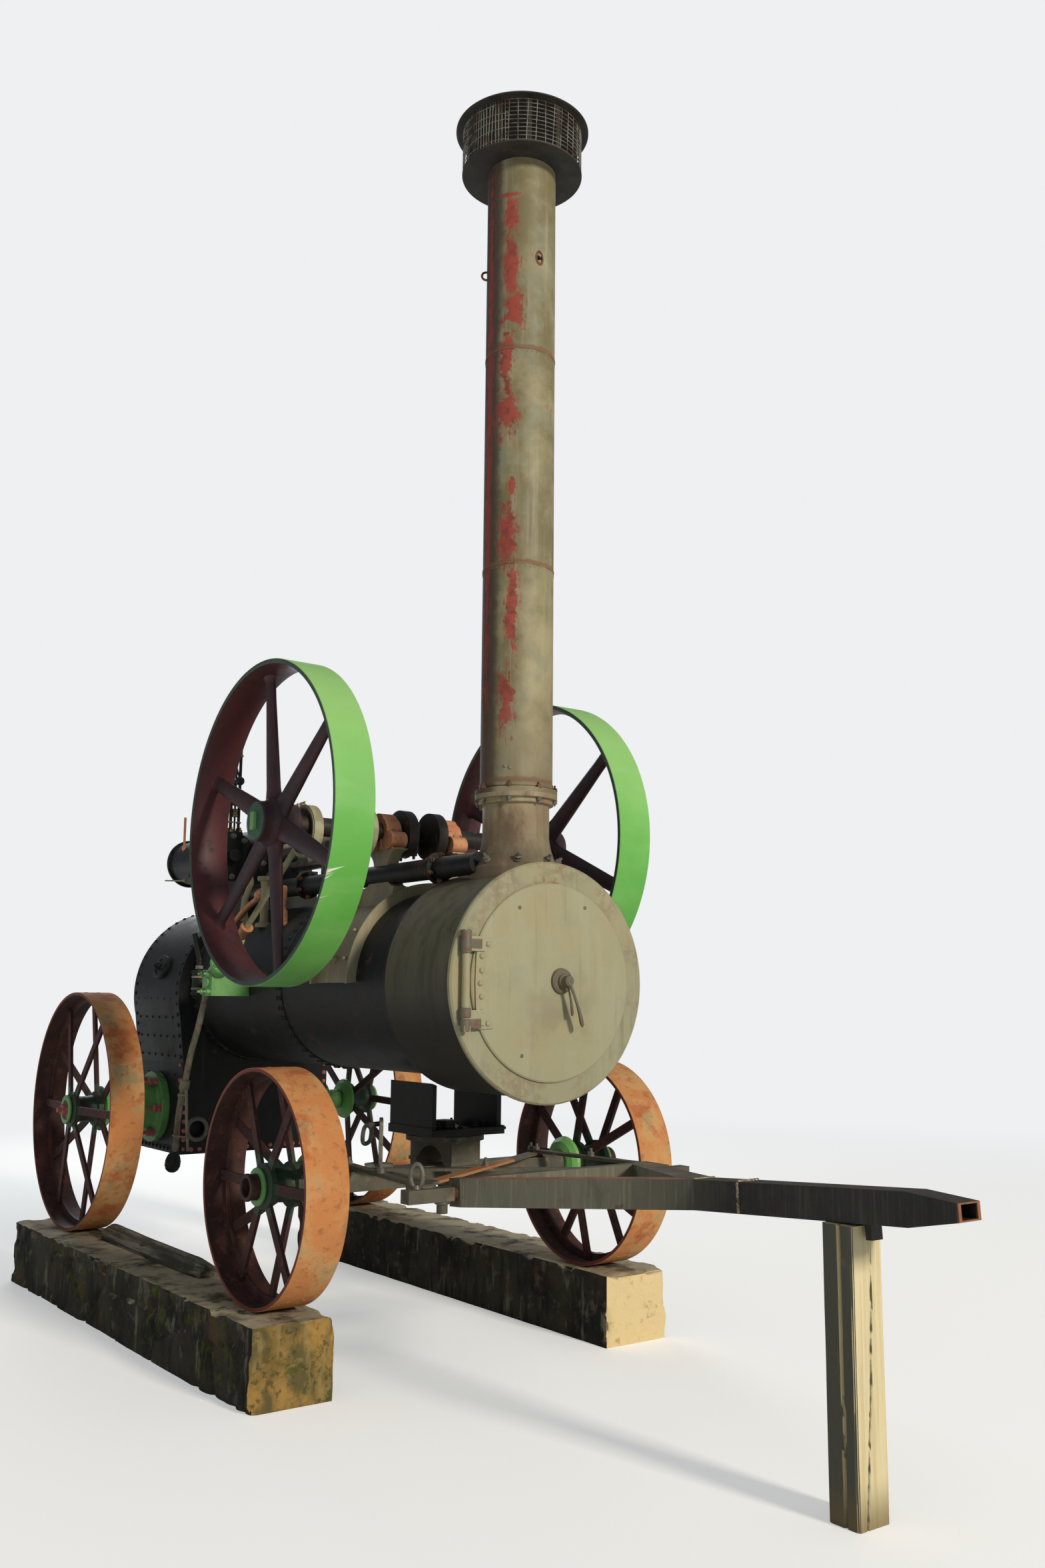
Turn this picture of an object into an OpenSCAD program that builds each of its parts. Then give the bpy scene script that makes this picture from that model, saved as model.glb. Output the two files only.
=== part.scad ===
// Portable steam engine: a locomotive-type boiler on four iron wheels, drawn by a steel drawbar,
// with a centre crank, two flywheels and a hinged chimney, standing on two concrete plinths.
// The smokebox faces -Y, the firebox +Y; every height is built up from the ground at z = 0.

/* [Stand] */
// Height of the concrete plinths
plinth_h = 326; // [250:1:420]
// Width of each plinth
plinth_w = 380; // [300:5:480]
// Length of each plinth
plinth_l = 3140; // [2900:10:3300]
// Side of the wooden drawbar post
post_w = 154; // [100:2:200]

/* [Road wheels] */
// Radius of the front wheels over the tread
front_r = 495; // [440:1:540]
// Radius of the rear wheels over the tread
rear_r = 654; // [580:1:700]
// Tread width of the front wheels
front_w = 195; // [140:1:220]
// Tread width of the rear wheels
rear_w = 184; // [140:1:220]
// Spokes in each road wheel
spokes = 12; // [8:2:16]

/* [Boiler] */
// Height of the boiler axis above the plinths
boiler_up = 1364; // [1300:1:1450]
// Radius of the smokebox shell
smokebox_r = 492; // [460:1:510]
// Length of the smokebox
smokebox_l = 555; // [480:5:640]
// Radius of the boiler barrel
barrel_r = 430; // [390:1:450]
// Half width of the firebox's arched top
firebox_r = 510; // [480:1:530]
// Half width of the firebox below its waist
firebox_w = 460; // [430:1:480]
// Length of the firebox
firebox_l = 690; // [640:5:760]
// Radius of the smokebox door
door_r = 422; // [380:1:440]

/* [Chimney] */
// Radius of the chimney tube
chimney_r = 165; // [130:1:180]
// Top of the chimney tube above the boiler axis
chimney_top = 3901; // [3000:1:4100]
// Radius of the top disc of the spark arrestor
cap_r = 325; // [280:1:360]

/* [Motion] */
// Height of the crankshaft above the boiler axis
crank_up = 732; // [700:1:780]
// Radius of the flywheels
fly_r = 760; // [600:1:780]
// Face width of the flywheels
fly_w = 196; // [150:1:220]
// Throw of the crank
throw = 127; // [90:1:127]

/* [Drawbar] */
// Depth of the drawbar's box section
bar_h = 108; // [80:1:120]
// Reach of the drawbar ahead of its hinge
bar_reach = 2015; // [1750:5:2100]

/* [Hidden] */

rest = 0.3;          // a wheel stands this far off its plinth
post_gap = 0.8;      // the drawbar stands this far off its post, so that it can swing over it
fine = 72;
deck = plinth_h + rest;
bz = plinth_h + boiler_up;
face_y = -890;       // the smokebox front
sb_end = face_y + smokebox_l;
fb_y1 = 2610;        // the firebox's back plate
fb_y0 = fb_y1 - firebox_l;
fb_z0 = bz - 940;
arch_z = bz - 55;    // the firebox's arch stands on this centre
crown = arch_z + firebox_r;
front_y = -91;
rear_y = 2287;
front_z = deck + front_r;
rear_z = deck + rear_r;
chim_y = -626;
flange_z = bz + 832;
crank_y = 209;
cz = bz + crank_up;
shaft_r = 45;
fly_x = 688;
stub_r = 40;
bore = 0.5;          // running clearance of a bore round its pin
seat = 0.3;          // gap between two seated pieces
turn_z = bz - 696;    // where the two turntable plates meet
hinge_y = -930;
hinge_z = bz - 830;
pitch = 3.94;
door_hx = -(door_r + 36);
door_hy = face_y - 26;
chim_hy = chim_y + 214;
chim_hz = flange_z + 20;
fire_z = bz - 150;
fire_hx = -212;
fire_hy = fb_y1 + 26;
rod_l = 900;
wrist_y = crank_y + throw + rod_l;
valve_x = -300;
chest_x = -290;      // centre of the round steam chest beside the cylinder
chest_r = 130;
valve_e = 35;
pump_x = -600;
pump_e = 40;
pump_a = -35;        // the pump rod's slope below the level
exh_x = -185;
exh_z = bz + 522;
exh_r = 50;
hub_x = 752;         // inner end of the rear hubs
rear_hub = 994;      // outer end of the rear hubs
rear_rim = 787;      // inner edge of the rear tyres
cup_x = 672;         // inner end of the front hubs
front_hub = 954;
front_rim = 782;
plinth_x = 725;      // inner edge of the plinths

green = [0.24, 0.5, 0.2];
olive = [0.42, 0.42, 0.33];
black = [0.08, 0.09, 0.1];
rust = [0.5, 0.25, 0.14];
maroon = [0.32, 0.07, 0.07];
stone = [0.6, 0.56, 0.45];
wood = [0.6, 0.52, 0.4];
steel = [0.5, 0.5, 0.48];
brass = [0.7, 0.55, 0.3];

module blk(x0, x1, y0, y1, z0, z1)
  translate([x0, y0, z0]) cube([x1 - x0, y1 - y0, z1 - z0]);
module rodx(x0, x1, y, z, r, fn = 40)
  translate([x0, y, z]) rotate([0, 90, 0]) cylinder(h = x1 - x0, r = r, $fn = fn);
module rody(x, y0, y1, z, r, fn = 40)
  translate([x, y0, z]) rotate([-90, 0, 0]) cylinder(h = y1 - y0, r = r, $fn = fn);
module rodz(x, y, z0, z1, r, fn = 40)
  translate([x, y, z0]) cylinder(h = z1 - z0, r = r, $fn = fn);
// the firebox's outline across the boiler, grown by g
module firebox_form(y0, y1, g = 0) {
  rody(0, y0, y1, arch_z, firebox_r + g, 96);
  translate([0, y1, 0]) rotate([90, 0, 0]) linear_extrude(y1 - y0)
    polygon([[-firebox_w - g, fb_z0], [firebox_w + g, fb_z0], [firebox_w + g, bz - 450],
      [firebox_r + g, arch_z], [-firebox_r - g, arch_z], [-firebox_w - g, bz - 450]]);
}
// a turned piece about the boiler's axis direction, its points given as [radius, y]
module turny(x, z, pts, fn = fine)
  translate([x, 0, z]) rotate([-90, 0, 0]) rotate_extrude($fn = fn) polygon(pts);
// a turned piece about a cross axis, its points given as [radius, x]
module turnx(y, z, pts, fn = fine)
  translate([0, y, z]) rotate([0, 90, 0]) rotate_extrude($fn = fn) polygon(pts);
module turnz(x, y, pts, fn = fine)
  translate([x, y, 0]) rotate_extrude($fn = fn) polygon(pts);

module plinths() color(stone) for (s = [-1, 1])
  translate([s * (plinth_x + plinth_w / 2), -400 + plinth_l / 2, 0])
    translate([-plinth_w / 2, -plinth_l / 2, 0]) cube([plinth_w, plinth_l, plinth_h]);

// the drawbar's underside over the post's rear edge sets the post's height
post_y0 = hinge_y - 1620;
post_y1 = post_y0 + 125;
post_top = hinge_z - bar_h / 2 / cos(pitch) + (hinge_y - post_y1) * tan(pitch) - post_gap;
module post() color(wood) blk(-post_w / 2, post_w / 2, post_y0, post_y1, 0, post_top);

module timbers() color(wood) {
  blk(-900, -760, 620, 1880, plinth_h, plinth_h + 78);
}

door_lug = 206;
module smokebox() color(olive) difference() {
  union() {
  turny(0, bz, [[door_r - 26, face_y], [smokebox_r + 16, face_y], [smokebox_r + 24, face_y + 8],
    [smokebox_r + 24, face_y + 24], [smokebox_r + 4, face_y + 30], [smokebox_r, face_y + 40],
    [smokebox_r, sb_end], [smokebox_r - 12, sb_end], [smokebox_r - 12, face_y + 18],
    [door_r - 26, face_y + 18]], 96);
    for (s = [-1, 1]) blk(door_hx - 15, door_hx + 15, door_hy - 17, face_y + 4,
      bz + s * (door_lug - 12) - 12, bz + s * (door_lug - 12) + 12);
  }
  rodz(0, chim_y, bz + 300, bz + 600, 128, fine);
  rodz(door_hx, door_hy, bz - 300, bz + 300, 8 + bore, 24);
}

tubes = [for (i = [-4:4], j = [-4:4]) if (norm([i * 76, j * 76]) < 330) [i * 76, j * 76]];
module tube_plate() color(black) difference() {
  rody(0, sb_end, sb_end + 16, bz, smokebox_r, 96);
  for (t = tubes) rody(t[0], sb_end - 1, sb_end + 17, bz + t[1], 26, 24);
}

band = 5;            // a riveted band stands this far off the barrel
module barrel() color(black) difference() {
  union() {
    rody(0, sb_end + 16, fb_y0, bz, barrel_r, 96);
    for (y = [sb_end + 16, 790, fb_y0 - 60]) rody(0, y, y + 60, bz, barrel_r + band, 96);
  }
  rody(0, sb_end + 15, fb_y0 - 14, bz, barrel_r - 12, 96);
}

// an oval hand-hole cover on the shell's shoulder, under its bridge
hand_hole = [for (a = [0:7.5:352.5]) [69 * cos(a), 96 * sin(a)]];
module hand_cover() translate([0, 2215, arch_z]) rotate([0, -73, 0]) {
  translate([0, 0, firebox_r - 20]) linear_extrude(38) polygon(hand_hole);
  blk(-14, 14, -82, 82, firebox_r + 10, firebox_r + 34);
  rodz(0, 0, firebox_r + 10, firebox_r + 52, 18, 6);
}

fire_w = 400;        // half width of the furnace
leg = 90;            // thickness of the water spaces in front and behind
module firebox() color(black) difference() {
  union() {
    firebox_form(fb_y0, fb_y1);
    for (s = [0, 1]) mirror([s, 0, 0]) hand_cover();
    for (s = [-1, 1]) blk(fire_hx - 14, fire_hx + 14, fb_y1 - 4, fire_hy + 14,
      fire_z + s * 106 - 12, fire_z + s * 106 + 12);
  }
  rodz(fire_hx, fire_hy, fire_z - 200, fire_z + 200, 6 + bore, 24);
  blk(-fire_w, fire_w, fb_y0 + leg, fb_y1 - leg, fb_z0 - 1, bz + 40);
  rody(0, fb_y1 - leg - 10, fb_y1 + 1, fire_z, 150, 48);
  rody(-360, fb_y0 - 1, fb_y0 + leg - 40, bz - 818, 46, 32);
}

module foundation_ring() color(black) difference() {
  blk(-firebox_w - 6, firebox_w + 6, fb_y0 - 6, fb_y1 + 6, fb_z0 - 14, fb_z0 + 24);
  blk(-firebox_w, firebox_w, fb_y0, fb_y1, fb_z0, fb_z0 + 25);
  blk(-fire_w, fire_w, fb_y0 + leg, fb_y1 - leg, fb_z0 - 15, fb_z0 + 1);
}

// the firebars on their two bearers, across the bottom of the furnace
module grate() color(black) {
  for (y = [fb_y0 + leg, fb_y1 - leg - 30])
    blk(-fire_w, fire_w, y, y + 30, fb_z0 - 12, fb_z0 + 14);
  for (i = [-7:7])
    blk(i * 50 - 13, i * 50 + 13, fb_y0 + leg + 4, fb_y1 - leg - 4, fb_z0 + 6, fb_z0 + 34);
}

module stub_axles() color(green) for (s = [0, 1]) mirror([s, 0, 0])
  turnx(rear_y, rear_z, [[0, firebox_w], [200, firebox_w], [200, firebox_w + 40],
    [148, firebox_w + 40], [140, firebox_w + 52], [132, firebox_w + 150],
    [112, firebox_w + 172], [stub_r + 18, firebox_w + 184], [stub_r + 18, hub_x - 8],
    [stub_r, hub_x - 8], [stub_r, rear_hub - 8], [0, rear_hub - 8]]);

base_form = [[206, 400], [206, 500], [190, 520], [172, 552], [158, 596], [151, 640], [151, 782],
  [170, 790], [170, 808], [187, 812], [187, 832]];
module chimney_base() color(rust) difference() {
  union() {
    turnz(0, chim_y, concat([[128, bz + 400]], [for (p = base_form) [p[0], bz + p[1]]],
      [[128, flange_z]]));
    blk(-40, 40, chim_y + 140, chim_hy + 20, flange_z - 40, flange_z - seat);
    blk(-40, 40, chim_hy - 20, chim_hy + 20, flange_z - 40, chim_hz);
    rodx(-40, 40, chim_hy, chim_hz, 20);
  }
  rodz(0, chim_y, bz, bz + 900, 128, fine);
  rodx(-60, 60, chim_hy, chim_hz, 14 + bore);
  rody(0, chim_y - 300, chim_y + 300, bz, smokebox_r + seat, 96);
}

cheek_x = 180;
tray_z = bz - 668;   // the saddle's tray between its two cheeks
module saddle() color(black) difference() {
  union() {
    for (s = [-1, 1]) {
      translate([s * cheek_x, front_y, 0]) blk(-12, 12, -180, 180, tray_z - 10, bz - 430);
      translate([s * (cheek_x + 14), front_y, 0]) blk(-7, 7, -196, 180, tray_z - 22, tray_z + 16);
    }
    blk(-cheek_x - 20, cheek_x + 20, front_y - 196, front_y + 180, tray_z - 22, tray_z);
    rodz(0, front_y, turn_z + rest, tray_z - 10, 176, fine);
  }
  rody(0, front_y - 300, front_y + 300, bz, smokebox_r + seat, 96);
  rody(0, sb_end, 400, bz, barrel_r + seat, 96);
  rodz(0, front_y, bz - 720, bz - 600, 30 + bore, 32);
}

// the arched plate over the barrel that carries both main bearings
pedestal_x = 178;
web_r = 696;         // radius of the hollow sides that sweep up to the pedestals
module crank_saddle() color(olive) {
  intersection() {
    turny(0, bz, [[barrel_r + seat, 30], [barrel_r + 52, 30], [barrel_r + 52, 44],
      [barrel_r + 14, 44], [barrel_r + 14, 376], [barrel_r + 52, 376], [barrel_r + 52, 390],
      [barrel_r + seat, 390]], 96);
    translate([0, 0, bz]) rotate([90, 0, 0]) translate([0, 0, -500]) linear_extrude(600)
      polygon([[-700, -40], [0, 60], [700, -40], [700, 700], [-700, 700]]);
  }
  for (s = [-1, 1]) difference() {
    union() {
      translate([s * pedestal_x, 0, 0]) blk(-34, 34, 64, 354, bz + 380, cz - 88);
      translate([s * 290, 0, 0]) blk(-150, 150, 60, 358, bz + 130, bz + 540);
      if (s < 0) rody(exh_x, 64, 354, exh_z, exh_r + 16);
    }
    rody(0, 0, 500, bz, barrel_r + 10, 96);
    rody(s * (web_r + 209), 0, 500, bz + 587, web_r, 120);
    translate([s * pedestal_x, crank_y, 0]) rodx(-60, 60, -150, bz + 550, 90);
    translate([s * pedestal_x, crank_y, 0]) rodx(-60, 60, 150, bz + 550, 90);
    rody(exh_x, 0, 500, exh_z, exh_r + seat);
  }
}

module main_bearings() color(rust) for (s = [-1, 1]) difference() {
  translate([s * pedestal_x, crank_y, 0]) {
    rodx(-40, 40, 20, cz + 34, 62);
    rodx(-42, 42, 0, cz, 74);
    for (t = [-1, 1]) {
      rodx(-44, 44, t * 84, cz - 44, 44);
      blk(-50, 50, t * 22 - 8, t * 22 + 8, cz - 88, cz + 12);
    }
    blk(-36, 36, -110, 110, cz - 88, cz - 30);
  }
  rodx(-300, 300, crank_y, cz, shaft_r + bore);
}

module cylinder_block() color(black) {
  difference() {
    union() {
      turny(0, cz, [[0, 1640], [120, 1640], [120, 1652], [178, 1652], [178, 1684],
        [200, 1690], [200, 2200], [178, 2206], [178, 2238], [120, 2238], [120, 2252],
        [0, 2252]]);
      blk(-240, 240, 1700, 2190, bz + 330, cz - 60);
      blk(-200, 200, 1700, 2190, cz - 61, cz);
      rody(chest_x, 1756, 2380, cz, chest_r, 64);
      for (y = [1756, 2364]) rody(chest_x, y, y + 16, cz, chest_r + 14, 64);
    }
    rody(0, 1500, fb_y0 + 10, bz, barrel_r + band + seat, 96);
    firebox_form(fb_y0 - seat, 2500, seat);
  }
  rody(valve_x, 1690, 1760, cz, 34);
}

module slide_bars() color(steel) {
  for (s = [-1, 1], t = [-1, 1])
    blk(s * 68 - 17, s * 68 + 17, 960, 1640, cz + t * 62 - 13, cz + t * 62 + 13);
  difference() {
    blk(-118, 118, 960, 990, bz + barrel_r - 10, cz + 92);
    blk(-85, 85, 950, 1000, cz - 200, cz + 190);
    rody(0, 900, 1100, bz, barrel_r + seat, 96);
  }
  for (s = [-1, 1], t = [-1, 1])
    blk(s * 68 - 17, s * 118, 960, 990, cz + t * 62 - 13, cz + t * 62 + 13);
}

module crosshead() color(steel) {
  for (s = [-1, 1]) blk(s * 68 - 17, s * 68 + 17, wrist_y - 60, wrist_y + 94, cz - 48, cz + 48);
  blk(-85, 85, wrist_y + 56, wrist_y + 94, cz - 48, cz + 48);
  rody(0, wrist_y + 94, 1640, cz, 22);
}

module steam_dome() color(black) {
  difference() {
    turnz(0, 2380, [[0, crown - 30], [120, crown - 30], [120, crown + 20], [96, crown + 32],
      [96, crown + 190], [110, crown + 200], [110, crown + 222], [70, crown + 240],
      [0, crown + 244]]);
    rody(0, 2000, 2700, arch_z, firebox_r + seat, 96);
  }
  for (x = [-42, 42]) rodz(x, 2380, crown + 230, crown + 340, 20, 24);
}

// a pillar governor on the steam chest: two columns under a cap, with the spindle between them
gov_x = -250;
gov_y = 1835;
gov_z = cz + 150;
gov_top = cz + 738;
module governor() color(brass) difference() {
  translate([gov_x, gov_y, 0]) {
    rodz(0, 0, cz + 80, gov_z, 50, 48);
    for (x = [-25, 25]) rodz(x, 0, gov_z - 4, gov_top - 40, 9, 24);
    for (z = [gov_z + 160, gov_top - 60]) blk(-36, 36, -13, 13, z, z + 22);
    rodz(0, 0, gov_top - 42, gov_top - 26, 38, 40);
    rodz(0, 0, gov_top - 30, gov_top, 12, 24);
    rodz(0, 0, gov_z - 4, gov_top - 40, 6, 20);
    for (s = [-1, 1]) {
      translate([0, s * 52, gov_z + 300]) sphere(r = 27, $fn = 28);
      translate([0, 0, gov_z + 390]) rotate([180 - s * 30, 0, 0]) cylinder(h = 104, r = 5, $fn = 16);
    }
  }
  rody(chest_x, 1700, 2400, cz, chest_r + seat, 64);
}

module exhaust_pipe() color(black) difference() {
  union() {
    rody(exh_x, chim_y + 20, 1700, exh_z, exh_r);
    for (y = [-290, 1000, 1676]) rody(exh_x, y, y + 24, exh_z, exh_r + 22);
  }
  turnz(0, chim_y, concat([[0, bz + 400]], [for (p = base_form) [p[0] + seat, bz + p[1]]],
    [[0, flange_z]]));
}

// the plunger pump on the barrel's left side, under the crankshaft
pump_y = 1010;
pump_z = bz + 190;
module feed_pump() color(green) {
  translate([pump_x, pump_y, pump_z]) rotate([pump_a, 0, 0]) {
    rody(0, 0, 150, 0, 32);
    rody(0, 150, 330, 0, 46);
  }
  difference() {
    blk(pump_x - 40, -330, 1170, 1290, bz - 70, bz + 66);
    rody(0, 1000, 1400, bz, barrel_r + seat, 96);
  }
}

// the feed enters the barrel through a check valve, with its delivery pipe coming down to it
check_y = 1510;
check_x = -566;
module check_valve() color(black) {
  difference() {
    union() {
      rodx(check_x, -barrel_r + 20, check_y, bz, 25);
      rodx(-barrel_r - 34, -barrel_r + 20, check_y, bz, 54);
      rodz(check_x, check_y, bz - 56, bz + 58, 36);
      for (z = [-66, 50]) rodz(check_x, check_y, bz + z, bz + z + 16, 46, 6);
    }
    rody(0, 1400, 1600, bz, barrel_r + seat, 96);
  }
  rodz(check_x, check_y, bz + 60, bz + 126, 14, 24);
  translate([check_x, check_y, bz + 124]) sphere(r = 16, $fn = 24);
  translate([check_x, check_y, bz + 124]) rotate([0, -15, 0]) cylinder(h = 150, r = 14, $fn = 24);
}

// the suction pipe hangs past the throat plate and ends in its strainer, its points [y, z]
pipe_x = -560;
pipe_run = [[1320, bz - 20], [1400, bz - 40], [1450, bz - 110], [1571, bz - 379], [1700, bz - 640],
  [1727, bz - 800], [1760, bz - 950]];
module suction_pipe() color(steel) {
  rody(pipe_x, 1290, pipe_run[0][0], bz - 20, 22, 32);
  for (i = [0:len(pipe_run) - 1]) translate([pipe_x, pipe_run[i][0], pipe_run[i][1]])
    sphere(r = 27, $fn = 32);
  for (i = [0:len(pipe_run) - 2]) {
    d = pipe_run[i + 1] - pipe_run[i];
    translate([pipe_x, pipe_run[i][0], pipe_run[i][1]]) rotate([-atan2(d[0], d[1]), 0, 0])
      cylinder(h = norm(d), r = 22, $fn = 32);
  }
  translate([pipe_x, 1760, bz - 950]) rotate([166, 0, 0]) rotate_extrude($fn = 40)
    polygon([[0, -12], [24, -12], [34, 8], [41, 32], [41, 58], [33, 80], [16, 92], [0, 94]]);
}

module gauges() color(brass) {
  for (x = [250, 330]) {
    rodz(x, fb_y1 + 34, bz + 60, bz + 330, 12, 24);
    for (z = [90, 300]) rody(x, fb_y1, fb_y1 + 52, bz + z, 15, 24);
  }
  rody(-60, fb_y1, fb_y1 + 60, bz + 330, 16, 24);
  rody(-60, fb_y1 + 60, fb_y1 + 92, bz + 330, 66, 48);
}

dish = 34;           // the door's middle stands this far ahead of the smokebox front
module smokebox_door() color(olive) {
  turny(0, bz, [[0, face_y - dish + 12], [200, face_y - 14], [door_r - 40, face_y - seat],
    [door_r, face_y - seat], [door_r, face_y - 9], [door_r - 6, face_y - 13],
    [330, face_y - 19], [220, face_y - 27], [110, face_y - 32], [0, face_y - dish]], 96);
  rodz(door_hx, door_hy, bz - door_lug + 26, bz + door_lug - 26, 17, 32);
  rodz(door_hx, door_hy, bz - door_lug, bz + door_lug, 8, 24);
  for (z = [-150, 150]) blk(door_hx, door_hx + 96, door_hy - 4, door_hy + 13, bz + z - 30, bz + z + 30);
}

module door_darts() color(black) {
  rody(0, face_y - dish - 64, face_y - dish - seat, bz, 17, 32);
  rody(0, face_y - dish - 18, face_y - dish - seat, bz, 44, 32);
  for (k = [[34, 16], [56, -12]]) translate([0, face_y - dish - k[0] - 8, bz]) rotate([0, k[1], 0])
    blk(-11, 11, 0, 16, -190, 20);
}

module fire_door() color(black) {
  rody(0, fb_y1 + seat, fb_y1 + 19, fire_z, 178, 64);
  rodz(fire_hx, fire_hy, fire_z - 92, fire_z + 92, 12, 24);
  rodz(fire_hx, fire_hy, fire_z - 122, fire_z + 122, 6, 24);
  for (z = [-60, 60]) blk(fire_hx, fire_hx + 80, fire_hy - 7, fire_hy + 1, fire_z + z - 18, fire_z + z + 18);
}

module chimney() color(olive) {
  difference() {
    union() {
      rodz(0, chim_y, flange_z + seat, flange_z + 22, 187, fine);
      rodz(0, chim_y, flange_z + seat, bz + chimney_top, chimney_r, fine);
    }
    rodz(0, chim_y, flange_z, bz + chimney_top + 1, chimney_r - 9, fine);
  }
  for (x = [-60, 60]) blk(x - 14, x + 14, chim_y + 160, chim_hy + 14, flange_z + 4, flange_z + 36);
  rodx(-90, 90, chim_hy, chim_hz, 14);
}

cage_z = bz + chimney_top;
module spark_cage() color(rust) {
  difference() {
    rodz(0, chim_y, cage_z, cage_z + 6, cap_r - 32, fine);
    rodz(0, chim_y, cage_z - 1, cage_z + 7, chimney_r - 9, fine);
  }
  for (a = [0:30:330]) translate([0, chim_y, 0]) rotate([0, 0, a])
    blk(cap_r - 44, cap_r - 38, -12, 12, cage_z + 3, cage_z + 229);
  turnz(0, chim_y, [[0, cage_z + 225], [cap_r - 10, cage_z + 225], [cap_r, cage_z + 227],
    [cap_r, cage_z + 233], [60, cage_z + 262], [0, cage_z + 262]]);
}

beam_z = bz - 873;    // centre of the front axle's beam
arch_r = 128;        // radius of the arch that the beam passes through
module front_axle() color(rust) {
  blk(-560, 560, front_y - 55, front_y + 55, beam_z - 44, beam_z + 43);
  rodz(0, front_y, turn_z - 24, turn_z, 182, fine);
  difference() {
    union() {
      blk(-78, 78, front_y - 176, front_y + 176, beam_z - 34, turn_z - 20);
      blk(-84, 84, front_y - 182, front_y + 182, beam_z + 50, beam_z + 66);
    }
    rodx(-100, 100, front_y, beam_z, arch_r, 56);
    blk(-100, 100, front_y - arch_r, front_y + arch_r, beam_z - 40, beam_z);
  }
  rody(0, front_y - 200, front_y + 200, beam_z, 24, 32);
  rodz(0, front_y, beam_z - 90, beam_z - 30, 30, 32);
  rodz(0, front_y, turn_z - 20, bz - 640, 30, 32);
  rodz(0, front_y, tray_z + 1, tray_z + 34, 52, 6);
  for (s = [0, 1]) mirror([s, 0, 0]) {
    rodx(540, front_hub - 8, front_y, front_z, stub_r - 2);
    rodx(550, cup_x - 8, front_y, front_z, stub_r + 18);
  }
}

module strap(a, b, w, z0, z1) {
  l = norm([b[0] - a[0], b[1] - a[1]]);
  translate([a[0], a[1], z0]) rotate([0, 0, atan2(b[1] - a[1], b[0] - a[0])])
    translate([-w / 2, -w / 2, 0]) cube([l + w, w, z1 - z0]);
}
module brace_frame() color(steel) difference() {
  union() {
    strap([-508, front_y - 14], [600, -800], 54, hinge_z, hinge_z + 12);
    strap([508, front_y - 14], [-600, -800], 54, hinge_z + 10, hinge_z + 22);
    for (s = [-1, 1]) {
      blk(s * 521 - 24, s * 521 + 24, front_y - 33, front_y + 13, hinge_z, hinge_z + 27);
      strap([s * 520, front_y], [s * 624, -900], 46, hinge_z + 20, hinge_z + 34);
      blk(s * 630 - 106, s * 630 + 106, hinge_y - 30, hinge_y + 30, hinge_z - 26, hinge_z + 26);
      blk(s * 608 - 31, s * 608 + 31, hinge_y + 24, -780, hinge_z - 14, hinge_z + 36);
      rodz(s * 560, hinge_y + 5, hinge_z - 74, hinge_z - 24, 22, 32);
    }
  }
  for (s = [-1, 1]) rodx(s * 560 - 60, s * 560 + 60, hinge_y, hinge_z, 19 + bore, 32);
}

leg_x = 500;
elbow = -885;
tip_open = 46;       // height of the drawbar's open end
module drawbar() color(black) translate([0, hinge_y, hinge_z]) rotate([-pitch, 0, 0]) difference() {
  drawbar_form();
  blk(-40, 40, -bar_reach - 1, -bar_reach + 90, -tip_open / 2, tip_open / 2);
}
module drawbar_form() {
  translate([0, 0, -bar_h / 2]) linear_extrude(bar_h) difference() {
    polygon([[-leg_x, 46], [-leg_x, -30], [-54, elbow], [54, elbow], [leg_x, -30], [leg_x, 46]]);
    polygon([[-leg_x + 96, -32], [0, elbow + 150], [leg_x - 96, -32]]);
  }
  rotate([90, 0, 90]) translate([0, 0, -54]) linear_extrude(108)
    polygon([[elbow + 40, -bar_h / 2], [elbow + 40, bar_h / 2], [-bar_reach + 190, bar_h / 2],
      [-bar_reach, 28], [-bar_reach, -28], [-bar_reach + 190, -bar_h / 2]]);
  for (s = [-1, 1]) rodx(s * 545 - 55, s * 545 + 55, 0, 0, 19, 32);
  translate([0, 0, -bar_h / 2 - 52]) blk(-26, 26, -1660, -1634, 0, 60);
}

// one road wheel about the x axis; x runs outward, s is its side and root the inner spokes' place
spoke_w = 42;
module road_wheel(s, y, z, r, w, x0, hub0, root, hub1, pin) color(rust) {
  mirror([s < 0 ? 1 : 0, 0, 0]) {
    turnx(y, z, [[r - 16, x0], [r, x0], [r, x0 + w], [r - 16, x0 + w], [r - 16, x0 + w / 2 + 9],
      [r - 46, x0 + w / 2 + 7], [r - 46, x0 + w / 2 - 7], [r - 16, x0 + w / 2 - 9]], 96);
    turnx(y, z, [[pin + bore, hub0], [70, hub0], [100, hub0 + 10], [120, hub0 + 30],
      [124, hub0 + 44], [98, hub0 + 48], [84, root - 16], [96, root - 12], [96, root + 14],
      [74, root + 22], [70, (root + hub1) / 2], [74, hub1 - 60], [96, hub1 - 52],
      [96, hub1 - 28], [70, hub1 - 14], [62, hub1 - 2], [pin + bore, hub1 - 2]]);
    for (i = [0:spokes - 1]) {
      hx = i % 2 == 0 ? root : hub1 - 40;
      rx = x0 + w / 2 + (i % 2 == 0 ? -14 : 14);
      l = norm([r - 26 - 80, rx - hx]);
      translate([0, y, z]) rotate([360 * i / spokes, 0, 0]) translate([hx, 0, 80])
        rotate([0, atan2(rx - hx, r - 26 - 80), 0]) blk(-8, 8, -spoke_w / 2, spoke_w / 2, 0, l);
    }
  }
}
module front_wheel_left() road_wheel(-1, front_y, front_z, front_r, front_w, front_rim, cup_x,
  hub_x + 34, front_hub, stub_r - 2);
module front_wheel_right() road_wheel(1, front_y, front_z, front_r, front_w, front_rim, cup_x,
  hub_x + 34, front_hub, stub_r - 2);
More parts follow.
